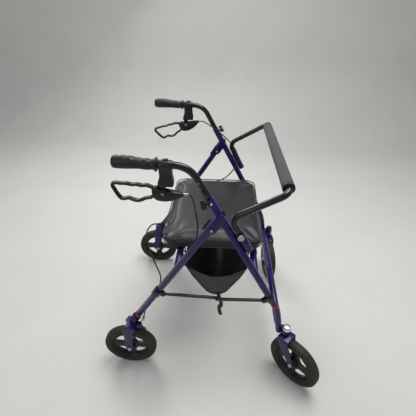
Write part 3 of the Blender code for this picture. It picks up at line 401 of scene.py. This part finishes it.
def sweep(name, line, width, height, mat, body, sides=10, normal=UP, closed=False, power=1.0):
    """Oval section carried along a line; width is measured square to the normal."""
    verts, faces = [], []
    count = len(line)
    widths = width if isinstance(width, list) else [width] * count
    heights = height if isinstance(height, list) else [height] * count
    for i, point in enumerate(line):
        ahead = line[(i + 1) % count] if closed or i < count - 1 else point
        behind = line[i - 1] if closed or i > 0 else point
        run = (ahead - behind).normalized()
        side = run.cross(normal).normalized()
        lift = side.cross(run).normalized()
        for k in range(sides):
            a = 2 * math.pi * k / sides
            u, v = math.cos(a), math.sin(a)
            u, v = (math.copysign(abs(w) ** power, w) for w in (u, v))
            verts.append(point + side * u * widths[i] / 2 + lift * v * heights[i] / 2)
    for i in range(count if closed else count - 1):
        j = (i + 1) % count
        for k in range(sides):
            n = (k + 1) % sides
            faces.append((i * sides + k, i * sides + n, j * sides + n, j * sides + k))
    if not closed:
        faces.append(tuple(range(sides)))
        faces.append(tuple((count - 1) * sides + k for k in range(sides)))
    return piece(name, verts, faces, mat, body)


def dome(name, centre, axis, radius, height, mat, body):
    """Domed bolt head with a small flange."""
    profile = [(0.0, radius), (height * 0.16, radius), (height * 0.22, radius * 0.90)]
    for k in range(1, 8):
        a = k / 8 * math.pi / 2
        profile.append((height * (0.22 + 0.78 * math.sin(a)), radius * 0.88 * math.cos(a)))
    profile.append((height, radius * 0.02))
    return revolve(name, profile, centre, axis, mat, body, 28)


# ---------------------------------------------------------------- camera, light, floor

def studio():
    lens = bpy.data.cameras.new("camera")
    lens.sensor_width = 36.0
    lens.lens = 26.40
    camera = bpy.data.objects.new("camera", lens)
    bpy.context.scene.collection.objects.link(camera)
    yaw, pitch, roll = CAMERA_YAW, CAMERA_PITCH, CAMERA_ROLL
    level = Vector((-math.cos(yaw), math.sin(yaw), 0))
    right = Vector((math.sin(yaw), math.cos(yaw), 0))
    forward = level * math.cos(pitch) - UP * math.sin(pitch)
    above = UP * math.cos(pitch) + level * math.sin(pitch)
    side = right * math.cos(roll) + above * math.sin(roll)
    top = above * math.cos(roll) - right * math.sin(roll)
    stand = HOME + CAMERA_PLACE
    camera.matrix_world = Matrix((
        (side.x, top.x, -forward.x, stand.x),
        (side.y, top.y, -forward.y, stand.y),
        (side.z, top.z, -forward.z, stand.z),
        (0, 0, 0, 1)))
    bpy.context.scene.camera = camera

    pale = surface("pale_floor", (0.60, 0.59, 0.56), 0.60, vary=0.03, patch=3, grain_scale=90,
                   grain_depth=0.0003)
    half, back, rise, bend = 4.0, -2.6, 3.2, 0.7
    section = [(half, 0.0)]
    for k in range(13):
        a = k / 12 * math.pi / 2
        section.append((back + bend - bend * math.sin(a), bend - bend * math.cos(a)))
    section.append((back, rise))
    verts = [(x, y, z) for x, z in section for y in (-half, half)]
    faces = [(2 * i, 2 * i + 1, 2 * i + 3, 2 * i + 2) for i in range(len(section) - 1)]
    floor = piece("studio_floor", verts, faces, pale)

    world = bpy.data.worlds.new("studio_world")
    world.use_nodes = True
    world.node_tree.nodes["Background"].inputs["Color"].default_value = (0.93, 0.95, 1.0, 1)
    world.node_tree.nodes["Background"].inputs["Strength"].default_value = 0.34
    bpy.context.scene.world = world
    bpy.context.scene.view_settings.view_transform = "Standard"
    lamps = (("key", (-0.3, 0.5, 2.6), (0.0, 0.0, 0.4), 1.5, 52),
             ("fill", (2.0, -1.3, 1.7), (0.0, 0.0, 0.4), 1.6, 8),
             ("rim", (-1.7, -1.1, 2.0), (0.0, 0.0, 0.5), 1.1, 24))
    for name, place, target, size, power in lamps:
        data = bpy.data.lights.new(name, "AREA")
        data.size = size
        data.energy = power
        lamp = bpy.data.objects.new(name, data)
        bpy.context.scene.collection.objects.link(lamp)
        lamp.location = place
        lamp.rotation_mode = "QUATERNION"
        lamp.rotation_quaternion = (Vector(target) - Vector(place)).to_track_quat("-Z", "Y")


studio()

# ---------------------------------------------------------------- carried-over CAD pieces

FINISHES = (
    (BLUE, 0.0005, ("front_leg", "fold_bracket", "backrest_socket", "caster_housing", "rear_leg",
                    "rear_fork", "caster_fork")),
    (BLACK, 0.0005, ("front_brace_bracket", "rear_brace_bracket", "front_brace_link",
                     "rear_brace_link", "handle_tube")),
    (STEEL, 0.0004, ("front_axle_bolt", "rear_axle_bolt", "backrest_screw")),
    (PLASTIC, 0.0010, ("brake_housing", "brake_lever", "clamp_knob", "brake_shoe")),
    (HUB, 0.0010, ("front_hub", "rear_hub")),
    (CABLE, 0.0, ("brake_cable",)),
)
for mat, bevel, names in FINISHES:
    for name in names:
        for side, _ in SIDES:
            dress(f"{name}_{side}", mat, bevel)
for name, mat in (("lower_crossbar", BLUE), ("upper_crossbar", BLUE), ("rear_crossbar", BLUE),
                  ("backrest_tube", BLACK), ("seat_board", PLASTIC), ("stem_nut_right", STEEL),
                  ("stem_cap_left", PLASTIC)):
    dress(name, mat)


# ---------------------------------------------------------------- wheels

def tyre(node, joint):
    """Solid tyre: rounded tread with two shallow grooves, sidewall ribs, and a bead."""
    low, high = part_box(node)
    radius = (high.z - low.z) / 2
    spin = JOINTS[joint]
    centre, axis = Vector(spin["pos_m"]), Vector(spin["axis"])
    half = 0.0158
    rim = radius - 0.0262
    crown = []
    for k in range(-10, 11):
        a = k / 10
        along = a * half
        drop = 0.0010 * abs(a) ** 2 + 0.0078 * abs(a) ** 6
        groove = 0.0009 * sum(math.exp(-((abs(along) - g) / 0.0006) ** 2) for g in (0.0050,))
        crown.append((along, radius - drop - groove))
    side = [(half, radius - 0.0125), (half - 0.0002, radius - 0.0150),
            (half - 0.0010, radius - 0.0155), (half - 0.0010, radius - 0.0170),
            (half - 0.0002, radius - 0.0176), (half - 0.0006, radius - 0.0220),
            (half - 0.0020, rim)]
    profile = crown + side + [(-a, r) for a, r in reversed(side)]
    obj = revolve(node + "_rubber", profile, centre, axis, TYRE, spin["child"], 96, closed=True)
    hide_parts(node)
    return obj


for side, _ in SIDES:
    tyre("rear_tyre_" + side, "rear_wheel_spin_" + side)
    tyre("front_tyre_" + side, "front_wheel_spin_" + side)


# ---------------------------------------------------------------- grips

GRIP_STATIONS = ((0.0, -0.0010, 0.0170), (0.0008, -0.0010, 0.0177), (0.0034, -0.0010, 0.0178),
                 (0.0044, -0.0011, 0.0168), (0.0066, -0.0012, 0.0147), (0.0100, -0.0013, 0.0138),
                 (0.0160, -0.0014, 0.0136), (0.0280, -0.0012, 0.0143), (0.0400, -0.0008, 0.0139),
                 (0.0520, 0.0000, 0.0148), (0.0610, 0.0005, 0.0157), (0.0700, 0.0007, 0.0166),
                 (0.0800, 0.0007, 0.0169), (0.0920, 0.0006, 0.0170), (0.1010, 0.0004, 0.0166),
                 (0.1060, 0.0001, 0.0156), (0.1090, 0.0000, 0.0140), (0.1106, 0.0000, 0.0118),
                 (0.1110, 0.0000, 0.0080))


def grip(side):
    """Rubber hand grip: flange, finger waves below, a raised palm, and a rounded end."""
    node = "grip_" + side
    low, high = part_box(node)
    axis = Vector((0, -math.cos(GRIP_RISE), math.sin(GRIP_RISE)))
    front = Vector(((low.x + high.x) / 2, high.y, low.z + GRIP_AXIS_RISE))
    places = catmull([Vector(s) for s in GRIP_STATIONS], 5)
    steps = 56
    verts, faces = [], []
    for along, lift, radius in places:
        centre = front + axis * along + UP * lift
        for k in range(steps):
            a = 2 * math.pi * k / steps
            up, out = math.sin(a), math.cos(a)
            r = radius
            if 0.008 < along < 0.104:
                fade = min(1.0, (along - 0.008) / 0.006, (0.104 - along) / 0.006)
                below = min(1.0, max(0.0, 0.45 - up))
                r += fade * below * 0.0004 * math.sin(along / 0.0195 * 2 * math.pi)
                r -= fade * 0.00020 * abs(math.sin(along / 0.0032 * math.pi)) ** 6
            verts.append(centre + X_AXIS * out * r + axis.cross(X_AXIS) * -up * r)
    rows = len(places)
    for i in range(rows - 1):
        for k in range(steps):
            n = (k + 1) % steps
            faces.append((i * steps + k, i * steps + n, (i + 1) * steps + n, (i + 1) * steps + k))
    faces.append(tuple(range(steps)))
    faces.append(tuple((rows - 1) * steps + k for k in range(steps)))
    obj = piece(node + "_rubber", verts, faces, GRIP, "handle_" + side)
    soften(obj)
    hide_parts(node)


for side, _ in SIDES:
    grip(side)


# ---------------------------------------------------------------- brake levers

LEVER_LOOP = ((-0.1760, 0.7650), (-0.1900, 0.7708), (-0.2030, 0.7700), (-0.2160, 0.7728),
              (-0.2290, 0.7720), (-0.2420, 0.7748), (-0.2560, 0.7748), (-0.2680, 0.7762),
              (-0.2765, 0.7742), (-0.2788, 0.7668), (-0.2740, 0.7540), (-0.2660, 0.7370),
              (-0.2590, 0.7296), (-0.2500, 0.7302), (-0.2400, 0.7318), (-0.2300, 0.7272),
              (-0.2190, 0.7245), (-0.2080, 0.7268), (-0.1980, 0.7318), (-0.1880, 0.7345),
              (-0.1800, 0.7365), (-0.1735, 0.7440), (-0.1720, 0.7550))
LEVER_BODY = ((-0.1775, 0.7665, 0.7400, 0.0060), (-0.1745, 0.7680, 0.7345, 0.0088),
              (-0.1660, 0.7680, 0.7288, 0.0112), (-0.1500, 0.7630, 0.7255, 0.0119),
              (-0.1300, 0.7580, 0.7275, 0.0117), (-0.1150, 0.7548, 0.7325, 0.0106),
              (-0.1040, 0.7520, 0.7385, 0.0086), (-0.0980, 0.7500, 0.7415, 0.0064),
              (-0.0950, 0.7485, 0.7435, 0.0044))


def cut_away(obj, low, high, matrix):
    """Takes a box out of a piece."""
    corners = [Vector((x, y, z)) for x in (low[0], high[0]) for y in (low[1], high[1])
               for z in (low[2], high[2])]
    faces = ((0, 1, 3, 2), (4, 6, 7, 5), (0, 4, 5, 1), (2, 3, 7, 6), (0, 2, 6, 4), (1, 5, 7, 3))
    cutter = piece("cutter", [matrix @ c for c in corners], faces, PLASTIC, smooth=False)
    boolean = obj.modifiers.new("slot", "BOOLEAN")
    boolean.object = cutter
    boolean.solver = "EXACT"
    apply_modifiers(obj)
    bpy.data.objects.remove(cutter)


def brake_lever(side, drop):
    """Finger loop with waves for the fingers, and the hollow body that pulls the cable."""
    node = "brake_lever_" + side
    joint = JOINTS[node]
    pivot = Vector(joint["pos_m"])
    shift = Vector((pivot.x, pivot.y + 0.1500, pivot.z - 0.7500))
    turn = Matrix.Translation(pivot) @ Matrix.Rotation(drop, 4, "X") @ Matrix.Translation(-pivot)
    line = [turn @ (Vector((0, y, z)) + shift) for y, z in LEVER_LOOP]
    line = catmull(line + line[:1], 4)[:-1]
    loop = sweep(node + "_loop", line, 0.0078, 0.0150, PLASTIC, joint["child"], 16,
                 normal=X_AXIS, closed=True, power=0.8)
    soften(loop)
    stations = catmull([Vector(v[:3]) for v in LEVER_BODY], 4)
    halves = [v.x for v in catmull([Vector((v[3], 0, 0)) for v in LEVER_BODY], 4)]
    steps = 28
    verts, faces = [], []
    for (y, top, bottom), half in zip(stations, halves):
        for k in range(steps):
            a = 2 * math.pi * k / steps
            u, v = (math.copysign(abs(w) ** 0.62, w) for w in (math.cos(a), math.sin(a)))
            centre = (top + bottom) / 2
            verts.append(turn @ (Vector((u * half, y, centre + v * (top - bottom) / 2)) + shift))
    rows = len(stations)
    for i in range(rows - 1):
        for k in range(steps):
            n = (k + 1) % steps
            faces.append((i * steps + k, i * steps + n, (i + 1) * steps + n, (i + 1) * steps + k))
    faces.append(tuple(range(steps)))
    faces.append(tuple((rows - 1) * steps + k for k in range(steps)))
    body = piece(node + "_body", verts, faces, PLASTIC)
    place = turn @ Matrix.Translation(shift)
    cut_away(body, (-0.0050, -0.1650, 0.7385), (0.0050, -0.1350, 0.80), place)
    for way in (-1, 1):
        low_x, high_x = sorted((way * 0.0108, way * 0.0140))
        cut_away(body, (low_x, -0.1280, 0.7395), (high_x, -0.1120, 0.7470), place)
    soften(body)
    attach(body, joint["child"])
    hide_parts(node)
    for way in (-1, 1):
        rivet = dome(f"lever_rivet_{side}_{'out' if way > 0 else 'in'}",
                     pivot + X_AXIS * way * 0.0117, X_AXIS * way, 0.0042, 0.0016, STEEL,
                     joint["child"])


# ---------------------------------------------------------------- seat

def plan(low, high, radius, arc=8, pinch=0.0, per_side=10):
    """Rounded rectangle in plan; its straight sides can pull in between the corners."""
    corners = [(high[0] - radius, high[1] - radius, 0), (low[0] + radius, high[1] - radius, 1),
               (low[0] + radius, low[1] + radius, 2), (high[0] - radius, low[1] + radius, 3)]
    points = []
    for i, (x, y, quarter) in enumerate(corners):
        for k in range(arc + 1):
            a = quarter * math.pi / 2 + k / arc * math.pi / 2
            points.append(Vector((x + radius * math.cos(a), y + radius * math.sin(a), 0)))
        end = points[-1]
        nx, ny, nq = corners[(i + 1) % 4]
        a = nq * math.pi / 2
        after = Vector((nx + radius * math.cos(a), ny + radius * math.sin(a), 0))
        middle_point = Vector(((low[0] + high[0]) / 2, (low[1] + high[1]) / 2, 0))
        inwards = (middle_point - (end + after) / 2).normalized()
        for k in range(1, per_side):
            t = k / per_side
            points.append(end.lerp(after, t) + inwards * pinch * math.sin(math.pi * t))
    return points


def inflate(obj, hold, cap, frames=20, pressure=4.0):
    """Cloth simulation with inner pressure; the held vertices stay and no point moves past the cap."""
    rest = [v.co.copy() for v in obj.data.vertices]
    group = obj.vertex_groups.new(name="hold")
    group.add([i for i, co in enumerate(rest) if hold(co)], 1.0, "REPLACE")
    cloth = obj.modifiers.new("cloth", "CLOTH")
    settings = cloth.settings
    settings.quality = 5
    settings.mass = 0.3
    settings.tension_stiffness = 18
    settings.compression_stiffness = 18
    settings.shear_stiffness = 8
    settings.bending_stiffness = 1.2
    settings.use_pressure = True
    settings.uniform_pressure_force = pressure
    settings.vertex_group_mass = "hold"
    settings.effector_weights.gravity = 0.0
    cloth.collision_settings.use_collision = False
    cloth.point_cache.frame_start = 1
    cloth.point_cache.frame_end = frames
    scene = bpy.context.scene
    for k in range(1, frames + 1):
        scene.frame_set(k)
    shape = obj.evaluated_get(bpy.context.evaluated_depsgraph_get()).to_mesh()
    moved = [v.co.copy() for v in shape.vertices]
    obj.evaluated_get(bpy.context.evaluated_depsgraph_get()).to_mesh_clear()
    obj.modifiers.remove(cloth)
    scene.frame_set(1)
    for vertex, before, after in zip(obj.data.vertices, rest, moved):
        step = after - before
        if step.length > cap:
            step *= cap / step.length
        vertex.co = before + step


def stack(loops):
    """Closed mesh from plan loops laid over each other, with fans at both ends."""
    count = len(loops[0])
    verts = [v for loop in loops for v in loop]
    faces = []
    for i in range(len(loops) - 1):
        for k in range(count):
            n = (k + 1) % count
            faces.append((i * count + k, i * count + n, (i + 1) * count + n, (i + 1) * count + k))
    for row in (0, len(loops) - 1):
        centre = sum(loops[row], Vector()) / count
        verts.append(centre)
        for k in range(count):
            faces.append((row * count + k, row * count + (k + 1) % count, len(verts) - 1))
    return verts, faces


def seat():
    """Vinyl cushion, crowned by its foam, with piping round its upper edge."""
    low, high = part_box("seat_cushion")
    tall = high.z - low.z
    loops = []
    for share, inset in ((0.02, 0.006), (0.10, 0.0022), (0.45, 0.0004), (0.76, 0.0014),
                         (0.88, 0.0045), (0.94, 0.0100)):
        loop = plan((low.x + inset, low.y + inset), (high.x - inset, high.y - inset),
                    0.040, pinch=0.0018)
        for point in loop:
            point.z = low.z + tall * share
        loops.append(loop)
    verts, faces = stack(loops)
    cushion = piece("seat_cushion_vinyl", verts, faces, VINYL)
    remesh = cushion.modifiers.new("remesh", "REMESH")
    remesh.mode = "VOXEL"
    remesh.voxel_size = 0.0055
    apply_modifiers(cushion)
    inflate(cushion, lambda co: co.z < low.z + tall * 0.30, 0.0075)
    relax = cushion.modifiers.new("relax", "SMOOTH")
    relax.factor = 0.5
    relax.iterations = 6
    finer = cushion.modifiers.new("finer", "SUBSURF")
    finer.levels = 1
    finer.render_levels = 1
    apply_modifiers(cushion)
    centre = (low + high) / 2
    for vertex in cushion.data.vertices:
        co = vertex.co
        if co.z > low.z + tall * 0.5:
            u = (co.x - centre.x) / ((high.x - low.x) / 2)
            v = (co.y - centre.y) / ((high.y - low.y) / 2)
            spread_x = max(0.0, 1 - u * u)
            spread_y = max(0.0, 1 - v * v)
            dent = noise.noise(Vector((co.x * 7, co.y * 7, 3.1))) * 0.0012
            fold = noise.noise(Vector((co.x * 26, co.y * 9, 7.7))) * 0.0004
            co.z += 0.0024 * (spread_x * spread_y) ** 0.5 + (dent + fold) * (spread_x * spread_y)
        co.z = max(co.z, low.z)
    for polygon in cushion.data.polygons:
        polygon.use_smooth = True
    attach(cushion, "seat")
    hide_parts("seat_cushion")

    edge = plan((low.x + 0.0036, low.y + 0.0036), (high.x - 0.0036, high.y - 0.0036), 0.040,
                pinch=0.0018)
    for point in edge:
        point.z = low.z + tall * 0.80
    cord = sweep("seat_piping", edge, 0.0042, 0.0042, PIPING, "seat", 10, closed=True)
    lower = plan((low.x + 0.0018, low.y + 0.0018), (high.x - 0.0018, high.y - 0.0018), 0.040,
                 pinch=0.0018)
    for point in lower:
        point.z = low.z + 0.0030
    hem = sweep("seat_hem", lower, 0.0034, 0.0052, PIPING, "seat", 10, closed=True)


def apply_modifiers(obj):
    """Replaces a piece's mesh with what its modifiers make of it."""
    graph = bpy.context.evaluated_depsgraph_get()
    graph.update()
    shape = bpy.data.meshes.new_from_object(obj.evaluated_get(graph))
    old = obj.data
    obj.modifiers.clear()
    obj.data = shape
    shape.name = obj.name
    bpy.data.meshes.remove(old)


brake_lever("right", 0.0)
brake_lever("left", math.radians(20))
seat()


# ---------------------------------------------------------------- backrest foam

def foam():
    """Foam sleeve on the backrest, slightly pinched and creased, with a cap at each end."""
    low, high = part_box("backrest_foam")
    centre = (low + high) / 2
    radius = (high.z - low.z) / 2
    length = high.x - low.x
    steps, rows = 40, 150
    verts, faces = [], []
    for i in range(rows + 1):
        t = i / rows
        x = low.x + 0.006 + (length - 0.012) * t
        near_end = min(t, 1 - t) * length
        shape = radius * (1 - 0.16 * math.exp(-(near_end / 0.0030)) - 0.02)
        for k in range(steps):
            a = 2 * math.pi * k / steps
            ripple = noise.noise(Vector((x * 22, math.cos(a) * 1.3, math.sin(a) * 1.3 + 4)))
            dent = noise.noise(Vector((x * 6, math.cos(a) * 0.8 + 9, math.sin(a) * 0.8)))
            r = shape * (1 + 0.014 * ripple + 0.030 * dent)
            r = min(r, radius)
            verts.append((x, centre.y + r * math.cos(a), centre.z + r * math.sin(a)))
    for i in range(rows):
        for k in range(steps):
            n = (k + 1) % steps
            faces.append((i * steps + k, i * steps + n, (i + 1) * steps + n, (i + 1) * steps + k))
    faces.append(tuple(range(steps)))
    faces.append(tuple(rows * steps + k for k in range(steps)))
    pad = piece("backrest_foam_pad", verts, faces, FOAM, "backrest")
    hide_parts("backrest_foam")
    for name, x, way in (("right", high.x, 1), ("left", low.x, -1)):
        profile = [(-0.0105, radius * 0.985), (-0.0100, radius), (-0.0030, radius * 0.998),
                   (-0.0012, radius * 0.985), (-0.0002, radius * 0.93), (0.0, radius * 0.86),
                   (0.0, 0.0098), (-0.0105, 0.0098)]
        cap = revolve("foam_cap_" + name, profile, Vector((x, centre.y, centre.z)),
                      X_AXIS * way, PLASTIC, "backrest", 40, closed=True)
        soften(cap)


foam()


# ---------------------------------------------------------------- bag

def bag_line(low, high):
    """Side view of the strip, from its rear edge down round the bottom and up to the front."""
    rear = Vector((0, low.y + 0.002, high.z - 0.002))
    front = Vector((0, high.y - 0.002, high.z - 0.008))
    base = low.z + 0.004
    mid = low.y + (high.y - low.y) * 0.53
    course = [rear, Vector((0, mid - 0.036, base + 0.030)), Vector((0, mid - 0.014, base)),
              Vector((0, mid + 0.014, base)), Vector((0, mid + 0.032, base + 0.030)), front]
    line = []
    for a, b in zip(course, course[1:]):
        count = max(2, round((b - a).length / 0.009))
        line += [a.lerp(b, k / count) for k in range(count)]
    line.append(course[-1])
    return line, rear, front, Vector((0, mid, base))


def bag():
    """Nylon pouch hung between the crossbars: one strip, two end panels, hems and hangers."""
    low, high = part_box("tote_bag")
    x0, x1 = low.x + 0.002, high.x - 0.002
    line, rear, front, bottom = bag_line(low, high)
    columns = 42
    rows = len(line)
    verts, faces = [], []
    for i in range(columns + 1):
        x = x0 + (x1 - x0) * i / columns
        for point in line:
            verts.append(Vector((x, point.y, point.z)))
    for i in range(columns):
        for k in range(rows - 1):
            faces.append((i * rows + k, i * rows + k + 1, (i + 1) * rows + k + 1,
                          (i + 1) * rows + k))
    strip = piece("bag_cloth", verts, faces, CLOTH)
    drape(strip, lambda co: co.z > high.z - 0.011)
    wrinkle(strip, low, high)
    rims = {}
    ends = {}
    for i in (0, columns):
        ends[i] = [strip.data.vertices[i * rows + k].co.copy() for k in range(rows)]
    for k in (0, rows - 1):
        rims[k] = [strip.data.vertices[i * rows + k].co.copy() for i in range(columns + 1)]
    thicken(strip, 0.0011)
    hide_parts("tote_bag")
    going = []
    for side, i, way in (("left", 0, 1), ("right", columns, -1)):
        panel = end_panel("bag_end_" + side, ends[i], way)
        going.append(panel)
        seam = sweep("bag_seam_" + side, ends[i], 0.0036, 0.0030, WEBBING, None, 8,
                     normal=X_AXIS)
        going.append(seam)
    for name, k in (("rear", 0), ("front", rows - 1)):
        hem = sweep("bag_hem_" + name, rims[k], 0.0040, 0.0120, WEBBING, None, 12)
        going.append(hem)
    for obj in going:
        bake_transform(obj)
    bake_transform(strip)
    hangers(low, high, rear, front)
    tail(bottom)


def end_panel(name, edge, way):
    """V-shaped end of the bag; its free upper edge sags between the two corners."""
    count = len(edge)
    verts, faces = [], []
    levels = 9
    half = count // 2
    for k in range(half + 1):
        a, b = edge[k], edge[count - 1 - k]
        for j in range(levels * 2 + 1):
            t = j / (levels * 2)
            point = a.lerp(b, t)
            middle_share = math.sin(math.pi * t)
            open_share = 1 - k / half
            point.z -= 0.050 * middle_share * open_share ** 1.5
            bulge = noise.noise(Vector((point.y * 22, point.z * 20, way * 3.0)))
            point.x += way * middle_share * (0.004 + 0.007 * bulge)
            verts.append(point)
    across = levels * 2 + 1
    for k in range(half):
        for j in range(across - 1):
            faces.append((k * across + j, k * across + j + 1, (k + 1) * across + j + 1,
                          (k + 1) * across + j))
    panel = piece(name, verts, faces, END_CLOTH)
    thicken(panel, 0.0009)
    return panel


def hangers(low, high, rear, front):
    """Webbing loops that carry the bag's two edges on the crossbars."""
    for name, bar, edge, body in (("front", "upper_crossbar", front, "frame"),
                                  ("rear", "rear_crossbar", rear, "rear_frame")):
        bar_low, bar_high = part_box(bar)
        if bar == "rear_crossbar":
            centre = HOME + REAR_BAR
        else:
            centre = (bar_low + bar_high) / 2
        for k, x in enumerate((low.x + 0.030, (low.x + high.x) / 2, high.x - 0.030)):
            radius = 0.0131
            line = [Vector((x, edge.y, edge.z - 0.004))]
            toward = (edge - Vector((0, centre.y, centre.z))).normalized()
            side = Vector((0, -toward.z, toward.y))
            for j in range(13):
                a = -0.60 * math.pi + 1.2 * math.pi * j / 12
                spot = Vector((x, centre.y, centre.z)) - toward * radius * math.cos(a) \
                    - side * radius * math.sin(a)
                line.append(spot)
            line.append(Vector((x, edge.y, edge.z - 0.002)))
            strap = sweep(f"bag_hanger_{name}_{k}", line, 0.0240, 0.0014, WEBBING, body, 10,
                          normal=side, power=0.5)


def tail(bottom):
    """Drawstring tail with its lock, hanging from the middle of the near end's bottom."""
    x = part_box("tote_bag")[1].x - 0.004
    top = Vector((x, bottom.y + 0.004, bottom.z + 0.010))
    line = catmull([top, top + Vector((0.004, 0.004, -0.020)), top + Vector((0.006, 0.011, -0.042)),
                    top + Vector((0.004, 0.012, -0.062)), top + Vector((0.000, 0.006, -0.080)),
                    top + Vector((0.001, 0.007, -0.100)), top + Vector((0.004, 0.013, -0.118))], 5)
    strap = sweep("bag_tail", line, 0.0135, 0.0018, WEBBING, None, 10,
                  normal=Vector((1, 0, 0)), power=0.5)
    lock = sweep("bag_tail_lock", line[16:21], 0.0170, 0.0085, PLASTIC, None, 14,
                 normal=Vector((1, 0, 0)), power=0.7)
    soften(lock)
    for obj in (strap, lock):
        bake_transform(obj)


def drape(obj, hold, frames=18):
    """Lets cloth sag under its weight from its held edges."""
    group = obj.vertex_groups.new(name="hold")
    group.add([v.index for v in obj.data.vertices if hold(v.co)], 1.0, "REPLACE")
    cloth = obj.modifiers.new("cloth", "CLOTH")
    settings = cloth.settings
    settings.quality = 6
    settings.mass = 0.25
    settings.tension_stiffness = 30
    settings.compression_stiffness = 6
    settings.shear_stiffness = 6
    settings.bending_stiffness = 0.2
    settings.vertex_group_mass = "hold"
    cloth.collision_settings.use_collision = False
    scene = bpy.context.scene
    for k in range(1, frames + 1):
        scene.frame_set(k)
    graph = bpy.context.evaluated_depsgraph_get()
    shape = bpy.data.meshes.new_from_object(obj.evaluated_get(graph))
    moved = [v.co.copy() for v in shape.vertices]
    bpy.data.meshes.remove(shape)
    obj.modifiers.remove(cloth)
    scene.frame_set(1)
    for vertex, after in zip(obj.data.vertices, moved):
        step = after - vertex.co
        if step.length > 0.010:
            step *= 0.010 / step.length
        vertex.co += step


def wrinkle(obj, low, high):
    """Soft folds that fan down from the held edges towards the bottom."""
    tall = high.z - low.z
    for vertex in obj.data.vertices:
        co = vertex.co
        depth = min(1.0, max(0.0, (high.z - co.z) / tall))
        strength = math.sin(math.pi * min(depth, 0.9)) ** 0.7
        fold = noise.noise(Vector((co.x * 24, co.y * 5, co.z * 4)))
        buckle = noise.noise(Vector((co.x * 11, co.y * 13 + 5, co.z * 12)))
        side = 1 if co.y > (low.y + high.y) / 2 else -1
        co.y -= side * strength * (0.0035 + 0.0040 * fold + 0.0030 * buckle)
        co.z = max(co.z, low.z)


def thicken(obj, thickness):
    shell = obj.modifiers.new("shell", "SOLIDIFY")
    shell.thickness = thickness
    shell.offset = 0.0
    finer = obj.modifiers.new("finer", "SUBSURF")
    finer.levels = 1
    finer.render_levels = 1
    apply_modifiers(obj)
    for polygon in obj.data.polygons:
        polygon.use_smooth = True


bag()


# ---------------------------------------------------------------- small fittings

def sleeve(name, node_axis_point, axis, length, radius, mat, body):
    """Thin band round a tube."""
    wall = 0.0007
    profile = [(-length / 2, radius), (-length / 2, radius + wall), (length / 2, radius + wall),
               (length / 2, radius)]
    band = revolve(name, profile, node_axis_point, axis, mat, body, 40, closed=True)
    soften(band)
    return band


def fittings():
    """Rivets, studs, hole rims, fold bumpers, cable ferrules, adjuster nuts and red tape."""
    fold = Vector(JOINTS["rear_fold"]["pos_m"])
    for side, way in SIDES:
        low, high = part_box("fold_bracket_" + side)
        for end, face, out in (("out", high.x if way > 0 else low.x, way),
                               ("in", low.x if way > 0 else high.x, -way)):
            rivet = dome(f"fold_rivet_{side}_{end}", Vector((face, fold.y, fold.z)),
                         X_AXIS * out, 0.0044, 0.0018, STEEL, "frame")
        stud = dome("leg_stud_" + side, on_front_leg(way, 0.7235) + X_AXIS * way * 0.0106,
                    X_AXIS * way, 0.0040, 0.0030, STEEL, "frame")
        # only the second hole has a rim: the first enters the leg as the handle goes down
        spot = on_front_leg(way, FRONT_TOP_Z) + LEG_UP * (FIRST_HOLE + HOLE_PITCH)
        ring = revolve("height_hole_rim_" + side,
                       [(-0.0008, 0.0018), (0.0002, 0.0018), (0.0004, 0.0021),
                        (0.0002, 0.0026), (-0.0008, 0.0028)],
                       spot + X_AXIS * way * 0.0093, X_AXIS * way, STEEL,
                       "handle_" + side, 24, closed=True)
        stop = [on_rear_leg(way, z) - REAR_ACROSS * 0.0142 - X_AXIS * way * 0.0100
                for z in (0.6200, 0.6260, 0.6380, 0.6500, 0.6560)]
        bumper = sweep("fold_bumper_" + side, stop, [0.0050, 0.0072, 0.0076, 0.0072, 0.0050],
                       [0.0050, 0.0072, 0.0076, 0.0072, 0.0050], PLASTIC, "rear_frame", 14,
                       normal=REAR_ACROSS, power=0.7)
        soften(bumper)

        lever = Vector(JOINTS["brake_lever_" + side]["pos_m"])
        cable = NODES["brake_cable_" + side].data.vertices
        near = [v.co for v in cable if abs(v.co.y - (lever.y + 0.0575)) < 0.004
                and v.co.z > lever.z - 0.02]
        start = sum(near, Vector()) / max(1, len(near))
        ferrule = revolve("cable_ferrule_" + side,
                          [(-0.0062, 0.0024), (-0.0062, 0.0036), (0.0030, 0.0036),
                           (0.0036, 0.0030), (0.0062, 0.0030), (0.0062, 0.0024)],
                          start + Vector((0, 0.0015, 0)), Vector((0, 1, -0.12)), STEEL, "frame",
                          24, closed=True)
        soften(ferrule)

        low_end = min((v.co for v in cable), key=lambda co: co.z)
        foot = revolve("cable_adjuster_" + side,
                       [(-0.0090, 0.0024), (-0.0090, 0.0048), (-0.0050, 0.0048),
                        (-0.0045, 0.0036), (0.0060, 0.0036), (0.0060, 0.0024)],
                       Vector((low_end.x, low_end.y + 0.006, low_end.z + 0.013)),
                       Vector((0.20 * -way, 0.38, 0.90)), STEEL, "frame", 24, closed=True)
        soften(foot)

    sleeve("red_tape_front_right", on_front_leg(1, 0.3320), LEG_UP, 0.013, TAPE_R, TAPE,
           "frame")
    for side, way in SIDES:
        sleeve("red_tape_rear_" + side, on_rear_leg(way, 0.2580), REAR_UP, 0.011, TAPE_R, TAPE,
               "rear_frame")


fittings()
